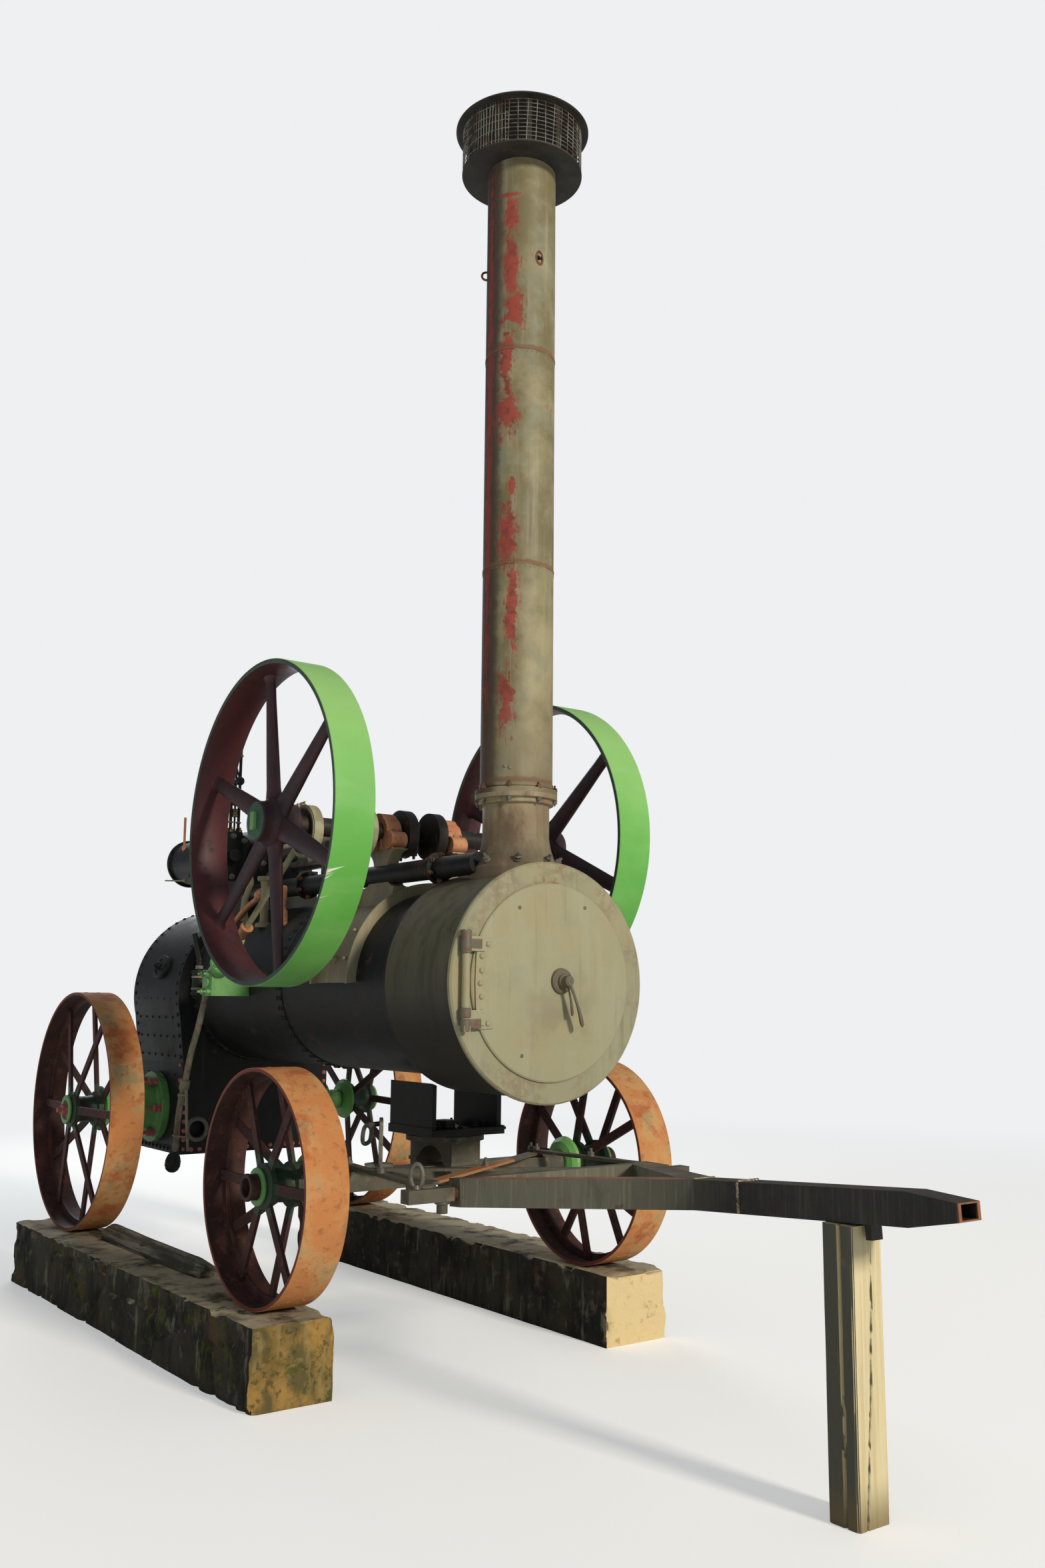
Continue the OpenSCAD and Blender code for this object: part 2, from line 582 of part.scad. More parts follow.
module rear_wheel_left() road_wheel(-1, rear_y, rear_z, rear_r, rear_w, rear_rim, hub_x,
  hub_x + 66, rear_hub, stub_r);
module rear_wheel_right() road_wheel(1, rear_y, rear_z, rear_r, rear_w, rear_rim, hub_x,
  hub_x + 66, rear_hub, stub_r);

shaft_end = fly_x + fly_w - 4;
module crankshaft() color(steel) {
  for (s = [-1, 1]) {
    rodx(s > 0 ? 60 : -shaft_end, s > 0 ? shaft_end : -60, crank_y, cz, shaft_r);
    translate([s * (shaft_end + 9), crank_y, cz]) blk(-13, 13, -17, 17, -38, 38);
    translate([s * 86, 0, 0]) {
      rodx(-26, 26, crank_y, cz, 118, 56);
      rodx(-26, 26, crank_y + throw, cz, 72, 48);
      blk(-26, 26, crank_y, crank_y + throw, cz - 72, cz + 72);
    }
  }
  rodx(-80, 80, crank_y + throw, cz, 42);
  rodx(valve_x - 26, valve_x + 26, crank_y + valve_e, cz, 104, 56);
  rodx(pump_x - 26, pump_x + 26, crank_y + pump_e * cos(pump_a), cz + pump_e * sin(pump_a), 104, 56);
}

module flywheel(s) {
  xm = s * (fly_x + fly_w / 2);
  translate([xm, crank_y, cz]) {
    turnx(0, 0, [[fly_r - 22, -fly_w / 2], [fly_r, -fly_w / 2], [fly_r, fly_w / 2],
      [fly_r - 22, fly_w / 2], [fly_r - 40, 30], [fly_r - 40, -30]], 120);
    turnx(0, 0, [[shaft_r + seat, -fly_w / 2], [92, -fly_w / 2], [96, -fly_w / 2 + 8],
      [98, -56], [120, -34], [120, 34], [98, 56], [96, fly_w / 2 - 8], [92, fly_w / 2],
      [shaft_r + seat, fly_w / 2]]);
    for (i = [0:5]) rotate([60 * i - 8, 0, 0]) translate([0, 0, 104])
      linear_extrude(fly_r - 38 - 104, scale = 0.64) scale([0.5, 1]) circle(r = 54, $fn = 28);
  }
}
module flywheel_left() color(maroon) flywheel(-1);
module flywheel_right() color(maroon) flywheel(1);

module connecting_rod() color(steel) translate([0, crank_y + throw, cz]) {
  difference() {
    union() {
      blk(-42, 42, -86, 92, -76, 76);
      rody(0, 90, rod_l - 30, 0, 27, 32);
      rodx(-34, 34, rod_l, 0, 46);
    }
    rodx(-60, 60, 0, 0, 42 + bore);
  }
  rodx(-44, 44, rod_l, 0, 22, 32);
}

module ecc_rod(l, r = 126) {
  difference() {
    union() {
      rodx(-24, 24, 0, 0, r, 56);
      blk(-24, 24, -30, 30, -r - 26, r + 26);
    }
    rodx(-30, 30, 0, 0, 104 + bore, 56);
  }
  rody(0, r - 8, l, 0, 15, 24);
  rodx(-18, 18, l, 0, 30, 32);
}
module valve_rod() color(brass) translate([valve_x, crank_y + valve_e, cz]) ecc_rod(1120);
module pump_rod() color(brass)
  translate([pump_x, crank_y + pump_e * cos(pump_a), cz + pump_e * sin(pump_a)])
    rotate([pump_a, 0, 0]) ecc_rod(860);

plinths();
timbers();
post();
smokebox();
tube_plate();
barrel();
firebox();
foundation_ring();
grate();
stub_axles();
chimney_base();
saddle();
crank_saddle();
main_bearings();
cylinder_block();
slide_bars();
crosshead();
steam_dome();
governor();
exhaust_pipe();
feed_pump();
check_valve();
suction_pipe();
gauges();
smokebox_door();
door_darts();
fire_door();
chimney();
spark_cage();
front_axle();
brace_frame();
drawbar();
front_wheel_left();
front_wheel_right();
rear_wheel_left();
rear_wheel_right();
crankshaft();
flywheel_left();
flywheel_right();
connecting_rod();
valve_rod();
pump_rod();
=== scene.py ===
import bmesh
import bpy
import math
import random
from mathutils import Matrix, Vector, noise


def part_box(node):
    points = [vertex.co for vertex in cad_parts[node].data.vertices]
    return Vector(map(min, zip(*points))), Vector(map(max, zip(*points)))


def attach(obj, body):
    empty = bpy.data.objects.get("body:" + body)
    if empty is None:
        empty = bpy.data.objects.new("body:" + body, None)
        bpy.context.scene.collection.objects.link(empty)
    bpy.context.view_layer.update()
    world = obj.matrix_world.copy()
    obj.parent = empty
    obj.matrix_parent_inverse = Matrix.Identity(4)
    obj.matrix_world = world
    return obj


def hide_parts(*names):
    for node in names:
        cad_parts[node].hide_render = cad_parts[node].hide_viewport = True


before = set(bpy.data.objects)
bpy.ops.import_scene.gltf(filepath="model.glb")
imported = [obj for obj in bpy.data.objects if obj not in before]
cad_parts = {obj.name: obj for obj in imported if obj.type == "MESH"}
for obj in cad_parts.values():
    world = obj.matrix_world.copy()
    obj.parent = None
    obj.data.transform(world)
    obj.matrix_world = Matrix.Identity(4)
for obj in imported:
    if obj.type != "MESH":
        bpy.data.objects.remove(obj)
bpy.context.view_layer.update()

# Camera
# The picture is taken from head height at the near front corner, looking up along the boiler
# towards the firebox, upright frame, with a lens of about 31 mm on a 36 mm long side.
EYE = Vector((-3.5701, -5.4846, 1.6123))
YAW, PITCH, ROLL = (math.radians(a) for a in (36.583, 9.140, 0.504))
SENSOR, FOCAL_PIXELS, PHOTO_HEIGHT = 36.0, 2015.05, 2352
ahead = Vector((math.sin(YAW) * math.cos(PITCH), math.cos(YAW) * math.cos(PITCH), math.sin(PITCH)))
level = Vector((math.cos(YAW), -math.sin(YAW), 0))
above = level.cross(ahead)
across = level * math.cos(ROLL) + above * math.sin(ROLL)
above = above * math.cos(ROLL) - level * math.sin(ROLL)
camera_data = bpy.data.cameras.new("camera")
camera_data.sensor_width = SENSOR
camera_data.lens = SENSOR * FOCAL_PIXELS / PHOTO_HEIGHT
camera_data.clip_end = 200
camera = bpy.data.objects.new("camera", camera_data)
camera.matrix_world = Matrix.Translation(EYE) @ Matrix((across, above, -ahead)).transposed().to_4x4()
bpy.context.scene.collection.objects.link(camera)
bpy.context.scene.camera = camera

# Floor and light
# A plain pale studio floor that runs into a pale background, one broad warm lamp far out on the
# right as the low sun stood, and a soft fill all round.
FLOOR = (0.80, 0.80, 0.78, 1)
BACKGROUND = (0.86, 0.87, 0.88, 1)
SKY = (0.84, 0.90, 1.0, 1)
FADE_FROM, FADE_TO = 4.5, 14.0
bpy.context.scene.view_settings.view_transform = "Standard"


def feed(tree, socket, value):
    """Sets an input to a plain value or joins it to what another node puts out."""
    value = getattr(value, "socket", value)
    if isinstance(value, bpy.types.NodeSocket):
        tree.links.new(value, socket)
    else:
        socket.default_value = value


class Value:
    """What a node puts out, with plain arithmetic done in the shader; * joins two masks."""

    def __init__(self, tree, socket):
        self.tree, self.socket = tree, socket

    def math(self, operation, *others):
        rest = {"_%d" % k: other for k, other in enumerate(others, 1)}
        return node(self.tree, "Math", 0, {"operation": operation}, _0=self, **rest)

    def __add__(self, other):
        return self.math("ADD", other)

    def __sub__(self, other):
        return self.math("SUBTRACT", other)

    def __mul__(self, other):
        return self.math("MULTIPLY", other)

    def __truediv__(self, other):
        return self.math("DIVIDE", other)

    def step(self, low, high, start=0.0, end=1.0):
        """Goes smoothly from start to end as the value goes from low to high."""
        return node(self.tree, "MapRange", 0, {"interpolation_type": "SMOOTHSTEP"}, Value=self,
                    From_Min=low, From_Max=high, To_Min=start, To_Max=end)

    def within(self, low, high, soft):
        """1 where the value lies between two ends, falling off softly outside them."""
        window = {"node_tree": bpy.data.node_groups["window"]}
        return node(self.tree, "Group", 0, window, Value=self, Low=low, High=high, Soft=soft)


def node(tree, kind, output=0, settings=None, **inputs):
    """What a new node puts out; an input is named, or numbered as in _0."""
    made = tree.nodes.new("ShaderNode" + kind)
    for key, value in (settings or {}).items():
        setattr(made, key, value)
    for key, value in inputs.items():
        feed(tree, made.inputs[int(key[1:]) if key[0] == "_" else key.replace("_", " ")], value)
    return Value(tree, made.outputs[output])


def parts(vector):
    """The X, Y and Z of a vector that a node puts out."""
    split = node(vector.tree, "SeparateXYZ", Vector=vector).socket.node
    return [Value(vector.tree, socket) for socket in split.outputs]


floor_mesh = bpy.data.meshes.new("floor")
bm = bmesh.new()
bmesh.ops.create_grid(bm, x_segments=1, y_segments=1, size=45)
bm.to_mesh(floor_mesh)
bm.free()
floor = bpy.data.objects.new("floor", floor_mesh)
bpy.context.scene.collection.objects.link(floor)
floor_paint = bpy.data.materials.new("floor_paint")
floor_paint.use_nodes = True
floor_mesh.materials.append(floor_paint)
tree = floor_paint.node_tree
shader = tree.nodes["Principled BSDF"]
for name, value in (("Base Color", FLOOR), ("Roughness", 0.95), ("Specular IOR Level", 0.1)):
    shader.inputs[name].default_value = value
# what the camera sees of the floor is lifted to a pale studio tone and keeps the shadow
lift = node(tree, "Emission", Color=FLOOR, Strength=node(tree, "LightPath", "Is Camera Ray") * 0.45)
lit = node(tree, "AddShader", _0=shader.outputs[0], _1=lift)
# far from the machine the floor takes the background's colour, so no horizon shows
reach = node(tree, "VectorMath", "Value", {"operation": "LENGTH"}, _0=node(tree, "TexCoord", "Object"))
far = node(tree, "Emission", Color=BACKGROUND)
blend = node(tree, "MixShader", _0=reach.step(FADE_FROM, FADE_TO), _1=lit, _2=far)
feed(tree, tree.nodes["Material Output"].inputs["Surface"], blend)

world = bpy.data.worlds.new("studio")
bpy.context.scene.world = world
world.use_nodes = True
tree = world.node_tree
tree.nodes.clear()
sky = node(tree, "Background", Color=SKY, Strength=0.27)
seen = node(tree, "Background", Color=BACKGROUND)
through = node(tree, "LightPath", "Is Transmission Ray")
either = node(tree, "LightPath", "Is Camera Ray").math("MAXIMUM", through)
pick = node(tree, "MixShader", _0=either, _1=sky, _2=seen)
feed(tree, tree.nodes.new("ShaderNodeOutputWorld").inputs[0], pick)


def lamp(name, place, target, size, power, colour):
    data = bpy.data.lights.new(name, "AREA")
    data.size = size
    data.energy = power
    data.color = colour
    made = bpy.data.objects.new(name, data)
    made.location = place
    made.rotation_euler = (Vector(target) - Vector(place)).to_track_quat("-Z", "Y").to_euler()
    bpy.context.scene.collection.objects.link(made)


lamp("key", (3.5, -34.4, 15.2), (0, 0, 2.2), 4.8, 9900, (1.0, 0.92, 0.80))
lamp("fill", (-9.0, -5.0, 5.0), (0, 0, 2.0), 6.0, 32, (0.88, 0.94, 1.0))
lamp("back", (3.0, 10.5, 5.5), (0, 1.5, 2.0), 5.0, 330, (0.92, 0.96, 1.0))

# Two plinths
# The wheels stand on two long plinths of rubble stone under a coat of old cement, split by frost
# on the outer side, paler on the ends and the tops, and dark down the sides with moss and painted shade.


def effect(name, inputs, outputs):
    """An empty shader effect: its tree, what comes in by name and the sockets to send out by name."""
    group = bpy.data.node_groups.new(name, "ShaderNodeTree")
    for kind, names in (("INPUT", inputs), ("OUTPUT", outputs)):
        for label, value in names.items():
            shape = "NodeSocketVector" if isinstance(value, tuple) else "NodeSocketFloat"
            socket = group.interface.new_socket(name=label, in_out=kind, socket_type=shape)
            if kind == "INPUT":
                socket.default_value = value
    entry = group.nodes.new("NodeGroupInput").outputs
    given = {name: Value(group, entry[name]) for name in inputs}
    return group, given, group.nodes.new("NodeGroupOutput").inputs


# torn-edged blotches, or runs and grain where Stretch draws them out along one way
group, given, out = effect("blotches", {"Vector": (0, 0, 0), "Scale": 4.0, "Stretch": (1, 1, 1),
                                        "Low": 0.5, "High": 0.6}, {"Mask": 0.0})
drawn = node(group, "VectorMath", 0, {"operation": "MULTIPLY"}, _0=given["Vector"], _1=given["Stretch"])
cloud = node(group, "TexNoise", "Fac", Vector=drawn, Scale=given["Scale"], Detail=7.0, Roughness=0.62)
feed(group, out["Mask"], cloud.step(given["Low"], given["High"]))

# a fine casting or rolling grain for bump and gloss
group, given, out = effect("grain", {"Vector": (0, 0, 0), "Scale": 60.0}, {"Height": 0.0})
fine = node(group, "TexNoise", "Fac", Vector=given["Vector"], Scale=given["Scale"], Detail=5.0, Roughness=0.6)
pits = node(group, "TexVoronoi", "Distance", {"feature": "SMOOTH_F1"}, Vector=given["Vector"],
            Scale=given["Scale"])
feed(group, out["Height"], pits * 0.4 + fine)

# 1 where a value lies between two ends, falling off softly outside them
group, given, out = effect("window", {"Value": 0.0, "Low": 0.0, "High": 1.0, "Soft": 0.01}, {"Mask": 0.0})
rising = given["Value"].step(given["Low"] - given["Soft"], given["Low"])
falling = given["Value"].step(given["High"], given["High"] + given["Soft"], 1.0, 0.0)
feed(group, out["Mask"], rising * falling)

# edges rubbed bare, broken up by a fine noise
group, given, out = effect("worn edges", {"Vector": (0, 0, 0), "Radius": 0.004, "Low": 0.01, "High": 0.2},
                           {"Mask": 0.0})
rounded = node(group, "Bevel", 0, {"samples": 4}, Radius=given["Radius"])
along = node(group, "VectorMath", "Value", {"operation": "DOT_PRODUCT"},
             _0=node(group, "NewGeometry", "Normal"), _1=rounded)
ragged = node(group, "TexNoise", "Fac", Vector=given["Vector"], Scale=35.0, Detail=4.0)
feed(group, out["Mask"], ((along - 1.0) * -1.0 * ragged).step(given["Low"], given["High"]))


class Finish:
    """A surface built up in coats over a ground colour, each coat laid on through a mask."""

    def __init__(self, name, ground, rough=0.6, metal=0.0, shine=0.5, eased=0.0):
        self.material = bpy.data.materials.new(name)
        self.material.use_nodes = True
        self.tree = self.material.node_tree
        self.shader = self.tree.nodes["Principled BSDF"]
        self.shader.inputs["Metallic"].default_value = metal
        self.shader.inputs["Specular IOR Level"].default_value = shine
        self.spot = node(self.tree, "TexCoord", "Object")
        self.x, self.y, self.z = parts(self.spot)
        self.way_x, self.way_y, self.way_z = parts(node(self.tree, "NewGeometry", "Normal"))
        self.colour, self.rough, self.height, self.eased = (*ground, 1), rough, None, eased

    def made(self, name, output=0, **inputs):
        """What a shared effect gives at this surface."""
        return node(self.tree, "Group", output, {"node_tree": bpy.data.node_groups[name]},
                    Vector=self.spot, **inputs)

    def blotches(self, scale, low, high, stretch=(1, 1, 1)):
        return self.made("blotches", Scale=scale, Stretch=stretch, Low=low, High=high)

    def edges(self, radius=0.004, low=0.01, high=0.16):
        return self.made("worn edges", Radius=radius, Low=low, High=high)

    def coat(self, mask, colour, rough=None, strength=1.0):
        if strength != 1.0:
            mask = mask * strength
        self.colour = node(self.tree, "Mix", 2, {"data_type": "RGBA"}, _0=mask, _6=self.colour,
                           _7=(*colour, 1))
        if rough is not None:
            self.rough = node(self.tree, "Mix", 0, _0=mask, _2=self.rough, _3=rough)
        return self

    def patch(self, scale, low, high, colour, rough=None, strength=1.0, on=None, stretch=(1, 1, 1)):
        """A coat in blotches, everywhere or only where another mask is."""
        mask = self.blotches(scale, low, high, stretch)
        return self.coat(mask * on if on else mask, colour, rough, strength)

    def runs(self, scale, low, high, colour, rough=None, strength=1.0, on=None, flow=0.07):
        """A coat in streaks that run down."""
        return self.patch(scale, low, high, colour, rough, strength, on, (1, 1, flow))

    def flecks(self, where, which, colour, rough=None, strength=1.0):
        """A coat in small blotches that keep together in patches."""
        return self.patch(*where, colour, rough, strength, self.blotches(*which))

    def wear(self, colour, rough=None, strength=1.0, radius=0.004, high=0.16):
        """Edges rubbed bare."""
        return self.coat(self.edges(radius, 0.01, high), colour, rough, strength)

    def raise_by(self, mask, amount):
        """Adds to the bump, in metres; a negative amount is sunk."""
        self.height = mask * amount + self.height if self.height else mask * amount
        return self

    def dent(self, scale, low, high, amount, stretch=(1, 1, 1)):
        return self.raise_by(self.blotches(scale, low, high, stretch), amount)

    def grain(self, scale, amount):
        return self.raise_by(self.made("grain", Scale=scale), amount)

    def done(self):
        feed(self.tree, self.shader.inputs["Base Color"], self.colour)
        feed(self.tree, self.shader.inputs["Roughness"], self.rough)
        if self.height:
            bump = {"Height": self.height, "Distance": 1.0, "Strength": 1.0}
            if self.eased:
                bump["Normal"] = node(self.tree, "Bevel", 0, {"samples": 4}, Radius=self.eased)
            feed(self.tree, self.shader.inputs["Normal"], node(self.tree, "Bump", 0, **bump))
        return self.material


def painted(names, finish):
    for name in names.split():
        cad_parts[name].material_slots[0].material = finish


def mesh_of(bm, name="part"):
    """Closes a piece of geometry into a mesh with its faces turned outward."""
    bmesh.ops.recalc_face_normals(bm, faces=bm.faces)
    mesh = bpy.data.meshes.new(name)
    bm.to_mesh(mesh)
    bm.free()
    return mesh


def add_mesh(bm, mesh, stand=Matrix.Identity(4)):
    mesh.transform(stand)
    bm.from_mesh(mesh)
    bpy.data.meshes.remove(mesh)


def piece(name, bm, body, finish, stands_for=(), sharp=35):
    """Makes a finished mesh an object of the machine: smooth but for its sharp edges."""
    mesh = mesh_of(bm, name)
    mesh.shade_smooth()
    mesh.set_sharp_from_angle(angle=math.radians(sharp))
    mesh.materials.append(finish)
    made = bpy.data.objects.new(name, mesh)
    bpy.context.scene.collection.objects.link(made)
    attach(made, body)
    if stands_for:
        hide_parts(*stands_for)


def cut_up(bm, low, high, cell):
    """A box from corner to corner, its faces cut into cells of about the given size."""
    made = bmesh.ops.create_cube(bm, size=1.0)["verts"]
    size = Vector(high) - Vector(low)
    bmesh.ops.scale(bm, vec=size, verts=made)
    bmesh.ops.translate(bm, vec=(Vector(high) + Vector(low)) / 2, verts=made)
    for axis in range(3):
        cuts = round(size[axis] / cell[axis]) - 1
        along = [e for e in bm.edges if abs((e.verts[0].co - e.verts[1].co).normalized()[axis]) > 0.99]
        bmesh.ops.subdivide_edges(bm, edges=along, cuts=cuts, use_grid_fill=True)


def stone_depth(spot):
    """How far a split stone face lies back, with a joint between its blocks."""
    near, points = noise.voronoi(Vector((0, spot.y * 2.4, spot.z * 3.6)))
    joint = max(0.0, 1 - (near[1] - near[0]) / 0.10)
    return 0.016 * joint ** 2 + 0.012 * noise.cell(points[0] * 7.3)


PLINTH = {"in": 0.725, "out": 1.105, "from": -0.400, "to": 2.740, "top": 0.326}
CELL = (0.022, 0.014, 0.016)
bm = bmesh.new()
for side in (-1, 1):
    part = bmesh.new()
    ends = sorted((side * PLINTH["in"], side * PLINTH["out"]))
    low, high = Vector((ends[0], PLINTH["from"], 0)), Vector((ends[1], PLINTH["to"], PLINTH["top"]))
    cut_up(part, low, high, CELL)
    middle = (low + high) / 2
    half = (high - low) / 2
    for v in part.verts:
        at = v.co.copy()
        gap = [half[i] - abs(at[i] - middle[i]) for i in range(3)]
        rough = 0.5 + 0.5 * noise.fractal(at * 7, 1.0, 2.2, 4)
        sunk = Vector((0, 0, 0))
        for i in (0, 1, 2):
            if gap[i] < 1e-5 and not (i == 2 and at.z < 0.01):
                depth = (0.0015 if i == 2 else 0.006) * rough
                if i == 0 and (at.x - middle.x) * side > 0 and side < 0:
                    depth += stone_depth(at)
                # the corners are knocked off here and there
                others = sorted(gap[j] for j in range(3) if j != i and not (j == 2 and at.z < 0.16))
                chip = max(0.0, 1 - others[0] / 0.035) * max(0.0, noise.noise(at * 9) + 0.05)
                sunk[i] = -math.copysign(depth + 0.028 * chip, at[i] - middle[i])
        v.co = at + sunk
    mesh = bpy.data.meshes.new("plinth_side")
    part.to_mesh(mesh)
    part.free()
    add_mesh(bm, mesh)
# the dark ground stands for the sides: moss and stains, darkened further as painted shade
look = Finish("mossy_cement", (0.062, 0.053, 0.036), 0.92, shine=0.25)
upward = look.way_z.step(0.35, 0.8)
forward = look.way_y.step(-0.45, -0.8)
look.patch(3.5, 0.42, 0.62, (0.022, 0.022, 0.016))
look.patch(9, 0.57, 0.68, (0.13, 0.115, 0.080))
look.patch(5, 0.56, 0.70, (0.14, 0.060, 0.022), strength=0.7)
look.coat(forward, (0.42, 0.25, 0.065))
look.patch(4, 0.30, 0.72, (0.150, 0.110, 0.036), None, 0.9, forward, (1, 1, 0.5))
look.patch(9, 0.44, 0.74, (0.045, 0.042, 0.017), None, 0.75, forward)
near_end = forward * look.x.step(0.0, -0.5)
look.patch(7, 0.44, 0.58, (0.085, 0.078, 0.034), None, 0.8, near_end, (1, 1, 0.45))
look.runs(17, 0.52, 0.64, (0.290, 0.225, 0.085), None, 0.6, near_end, 0.2)
look.patch(34, 0.54, 0.64, (0.040, 0.040, 0.020), None, 0.65, near_end)
look.coat(forward * look.x.step(-0.5, 0.5), (0.80, 0.64, 0.34), strength=0.95)
look.patch(6, 0.30, 0.55, (0.42, 0.36, 0.24), on=upward)
moss = look.blotches(14, 0.50, 0.62) * look.blotches(2.5, 0.48, 0.56) * look.x.within(-2.0, 0.5, 0.2)
look.coat(moss, (0.075, 0.085, 0.018), 0.98)
look.patch(26, 0.60, 0.72, (0.30, 0.26, 0.18), strength=0.30)
aslant = upward.math("MAXIMUM", forward) * -1.0 + 1.0
look.runs(20, 0.52, 0.66, (0.016, 0.015, 0.011), None, 0.65, aslant, 0.15)
look.runs(13, 0.58, 0.68, (0.25, 0.23, 0.17), None, 0.6, aslant, 0.22)
look.patch(12, 0.58, 0.68, (0.36, 0.24, 0.10), None, 0.6, forward)
look.grain(38, 0.0035).dent(11, 0.4, 0.6, 0.002)
piece("plinth_stones", bm, "engine", look.done(), ["plinths"], sharp=60)

# Weathered baulk
# A split half-round log lies on the left plinth between the wheels as a chock. It is grey, deeply
# checked hardwood, frayed at its near end.
low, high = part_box("timbers")
bm = bmesh.new()
length = high.y - low.y
log = bmesh.ops.create_cone(bm, cap_ends=True, segments=36, radius1=1.0, radius2=1.0, depth=length)["verts"]
bmesh.ops.rotate(bm, verts=log, cent=(0, 0, 0), matrix=Matrix.Rotation(math.pi / 2, 3, "X"))
bmesh.ops.subdivide_edges(bm, edges=[e for e in bm.edges if abs(e.verts[0].co.y - e.verts[1].co.y) > 0.5],
                          cuts=110, use_grid_fill=True)
for v in bm.verts:
    angle = math.atan2(v.co.z, v.co.x)
    along = (v.co.y + length / 2) / length
    round_out = 1 - 0.16 * (0.5 + 0.5 * noise.noise(Vector((math.cos(angle), math.sin(angle), v.co.y * 2.5))))
    check = abs(math.sin(angle * 5 + 1.5 * noise.noise(Vector((0, v.co.y * 1.8, 3)))))
    lost = 0.5 + noise.noise(Vector((angle, v.co.y * 3, 8)))
    round_out -= 0.20 * max(0.0, 1 - check / 0.16) * max(0.0, lost)
    taper = 1 - 0.22 * max(0.0, (0.12 - along) / 0.12)
    wide = (high.x - low.x) / 2 * round_out * taper
    tall = (high.z - low.z) * round_out * taper
    v.co.x = (low.x + high.x) / 2 + math.cos(angle) * wide
    v.co.z = low.z + max(0.0, math.sin(angle)) * tall
    v.co.y = low.y + along * length
look = Finish("weathered_wood", (0.20, 0.175, 0.125), 0.9, shine=0.2)
look.patch(26, 0.42, 0.60, (0.075, 0.068, 0.052), stretch=(1, 0.06, 1))
look.patch(60, 0.54, 0.62, (0.34, 0.31, 0.235), strength=0.7, stretch=(1, 0.03, 1))
look.patch(7, 0.56, 0.66, (0.060, 0.062, 0.030), strength=0.7)
look.dent(55, 0.35, 0.65, 0.003, (1, 0.03, 1))
piece("chock_log", bm, "engine", look.done(), ["timbers"], sharp=50)

# Post under the drawbar
# A short sawn post of pale hardwood, set upright in the ground. It has dried out and split down
# its front and its left side, and its arrises have worn round.
low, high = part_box("post")
bm = bmesh.new()
cut_up(bm, low, high, (0.0042, 0.0052, 0.016))
middle = (low + high) / 2
half = (high - low) / 2


def split(spot, line, width, depth):
    """How deep a wandering crack is at a distance across it."""
    return depth * max(0.0, 1 - (abs(spot - line) / width) ** 2)


for v in bm.verts:
    at = v.co.copy()
    z = at.z
    if abs(at.y - low.y) < 1e-5:
        wander = 0.004 * noise.noise(Vector((0, 3, z * 6)))
        line = 0.020 - 0.055 * (1 - z / high.z) ** 1.5 + wander
        sunk = split(at.x, line, 0.0042, 0.008 * min(1.0, (high.z - z) / 0.2))
        sunk += 0.0012 * (1 + noise.noise(Vector((at.x * 90, 0, z * 5))))
        at.y += sunk
    if abs(at.y - high.y) < 1e-5:
        at.y -= split(at.x, 0.01 + 0.02 * noise.noise(Vector((0, 9, z * 3))), 0.005, 0.014)
    for x, way in ((low.x, 1), (high.x, -1)):
        if abs(at.x - x) < 1e-5:
            wander = 0.006 * noise.noise(Vector((0, 5, z * 5)))
            sunk = split(v.co.y, low.y + 0.055 + wander, 0.0062, 0.016)
            sunk += 0.0012 * (1 + noise.noise(Vector((v.co.y * 90, 2, z * 5))))
            at.x += way * sunk
    # the arrises are worn
    dx, dy = half.x - abs(v.co.x - middle.x), half.y - abs(v.co.y - middle.y)
    if dx + dy < 0.007:
        at.x -= math.copysign(0.003, at.x - middle.x)
        at.y -= math.copysign(0.003, at.y - middle.y)
    bow = 0.0022 * (1 + noise.noise(Vector((1, 7, z * 2.2))))
    at.x -= bow * (at.x - middle.x) / half.x
    v.co = at
look = Finish("split_post_wood", (0.76, 0.66, 0.40), 0.85, shine=0.25)
shaded_left_face = look.way_x.step(-0.4, -0.8)
look.runs(45, 0.45, 0.62, (0.66, 0.55, 0.32), flow=0.03)
look.runs(150, 0.62, 0.67, (0.30, 0.22, 0.12), strength=0.5, flow=0.012)
# the left face is streaked dark: weathered grey wood, darkened further as painted shade
look.runs(30, 0.10, 0.35, (0.115, 0.115, 0.085), on=shaded_left_face, flow=0.05)
look.patch(6, 0.62, 0.76, (0.48, 0.42, 0.28), strength=0.5)
look.coat(look.z.step(0.16, 0.0), (0.20, 0.155, 0.075), strength=0.8)
look.dent(80, 0.35, 0.65, 0.0014, (1, 1, 0.025))
piece("split_post", bm, "engine", look.done(), ["post"], sharp=50)

# Smokebox and its door
# The smokebox is rolled plate with a pressed front ring; the door is dished plate on a long hinge
# pin. Both wear an olive grey-green paint, streaked by rain and rusting through in places.
BOILER_Z = 1.690
FACE_Y = -0.890


def olive(name, ground=(0.300, 0.292, 0.178), brown=0.55, smudge=1.0, red=1.0, eased=0.0):
    made = Finish(name, ground, 0.55, shine=0.4, eased=eased)
    made.patch(2.2, 0.40, 0.66, (0.345, 0.300, 0.165))
    made.patch(5.5, 0.50, 0.72, (0.225, 0.230, 0.150), 0.62, smudge)
    made.runs(14, 0.50, 0.72, (0.375, 0.355, 0.235), 0.5, 0.55)
    made.runs(24, 0.56, 0.74, (0.165, 0.125, 0.070), 0.7, brown, flow=0.05)
    made.flecks((4, brown * -0.12 + 0.66, 0.72), (30, 0.42, 0.56), (0.215, 0.085, 0.042), 0.85, red)
    made.patch(90, 0.66, 0.72, (0.44, 0.42, 0.32), strength=0.4)
    made.wear((0.50, 0.44, 0.31), 0.6)
    return made.grain(120, 0.0004).dent(9, 0.3, 0.7, 0.0008)


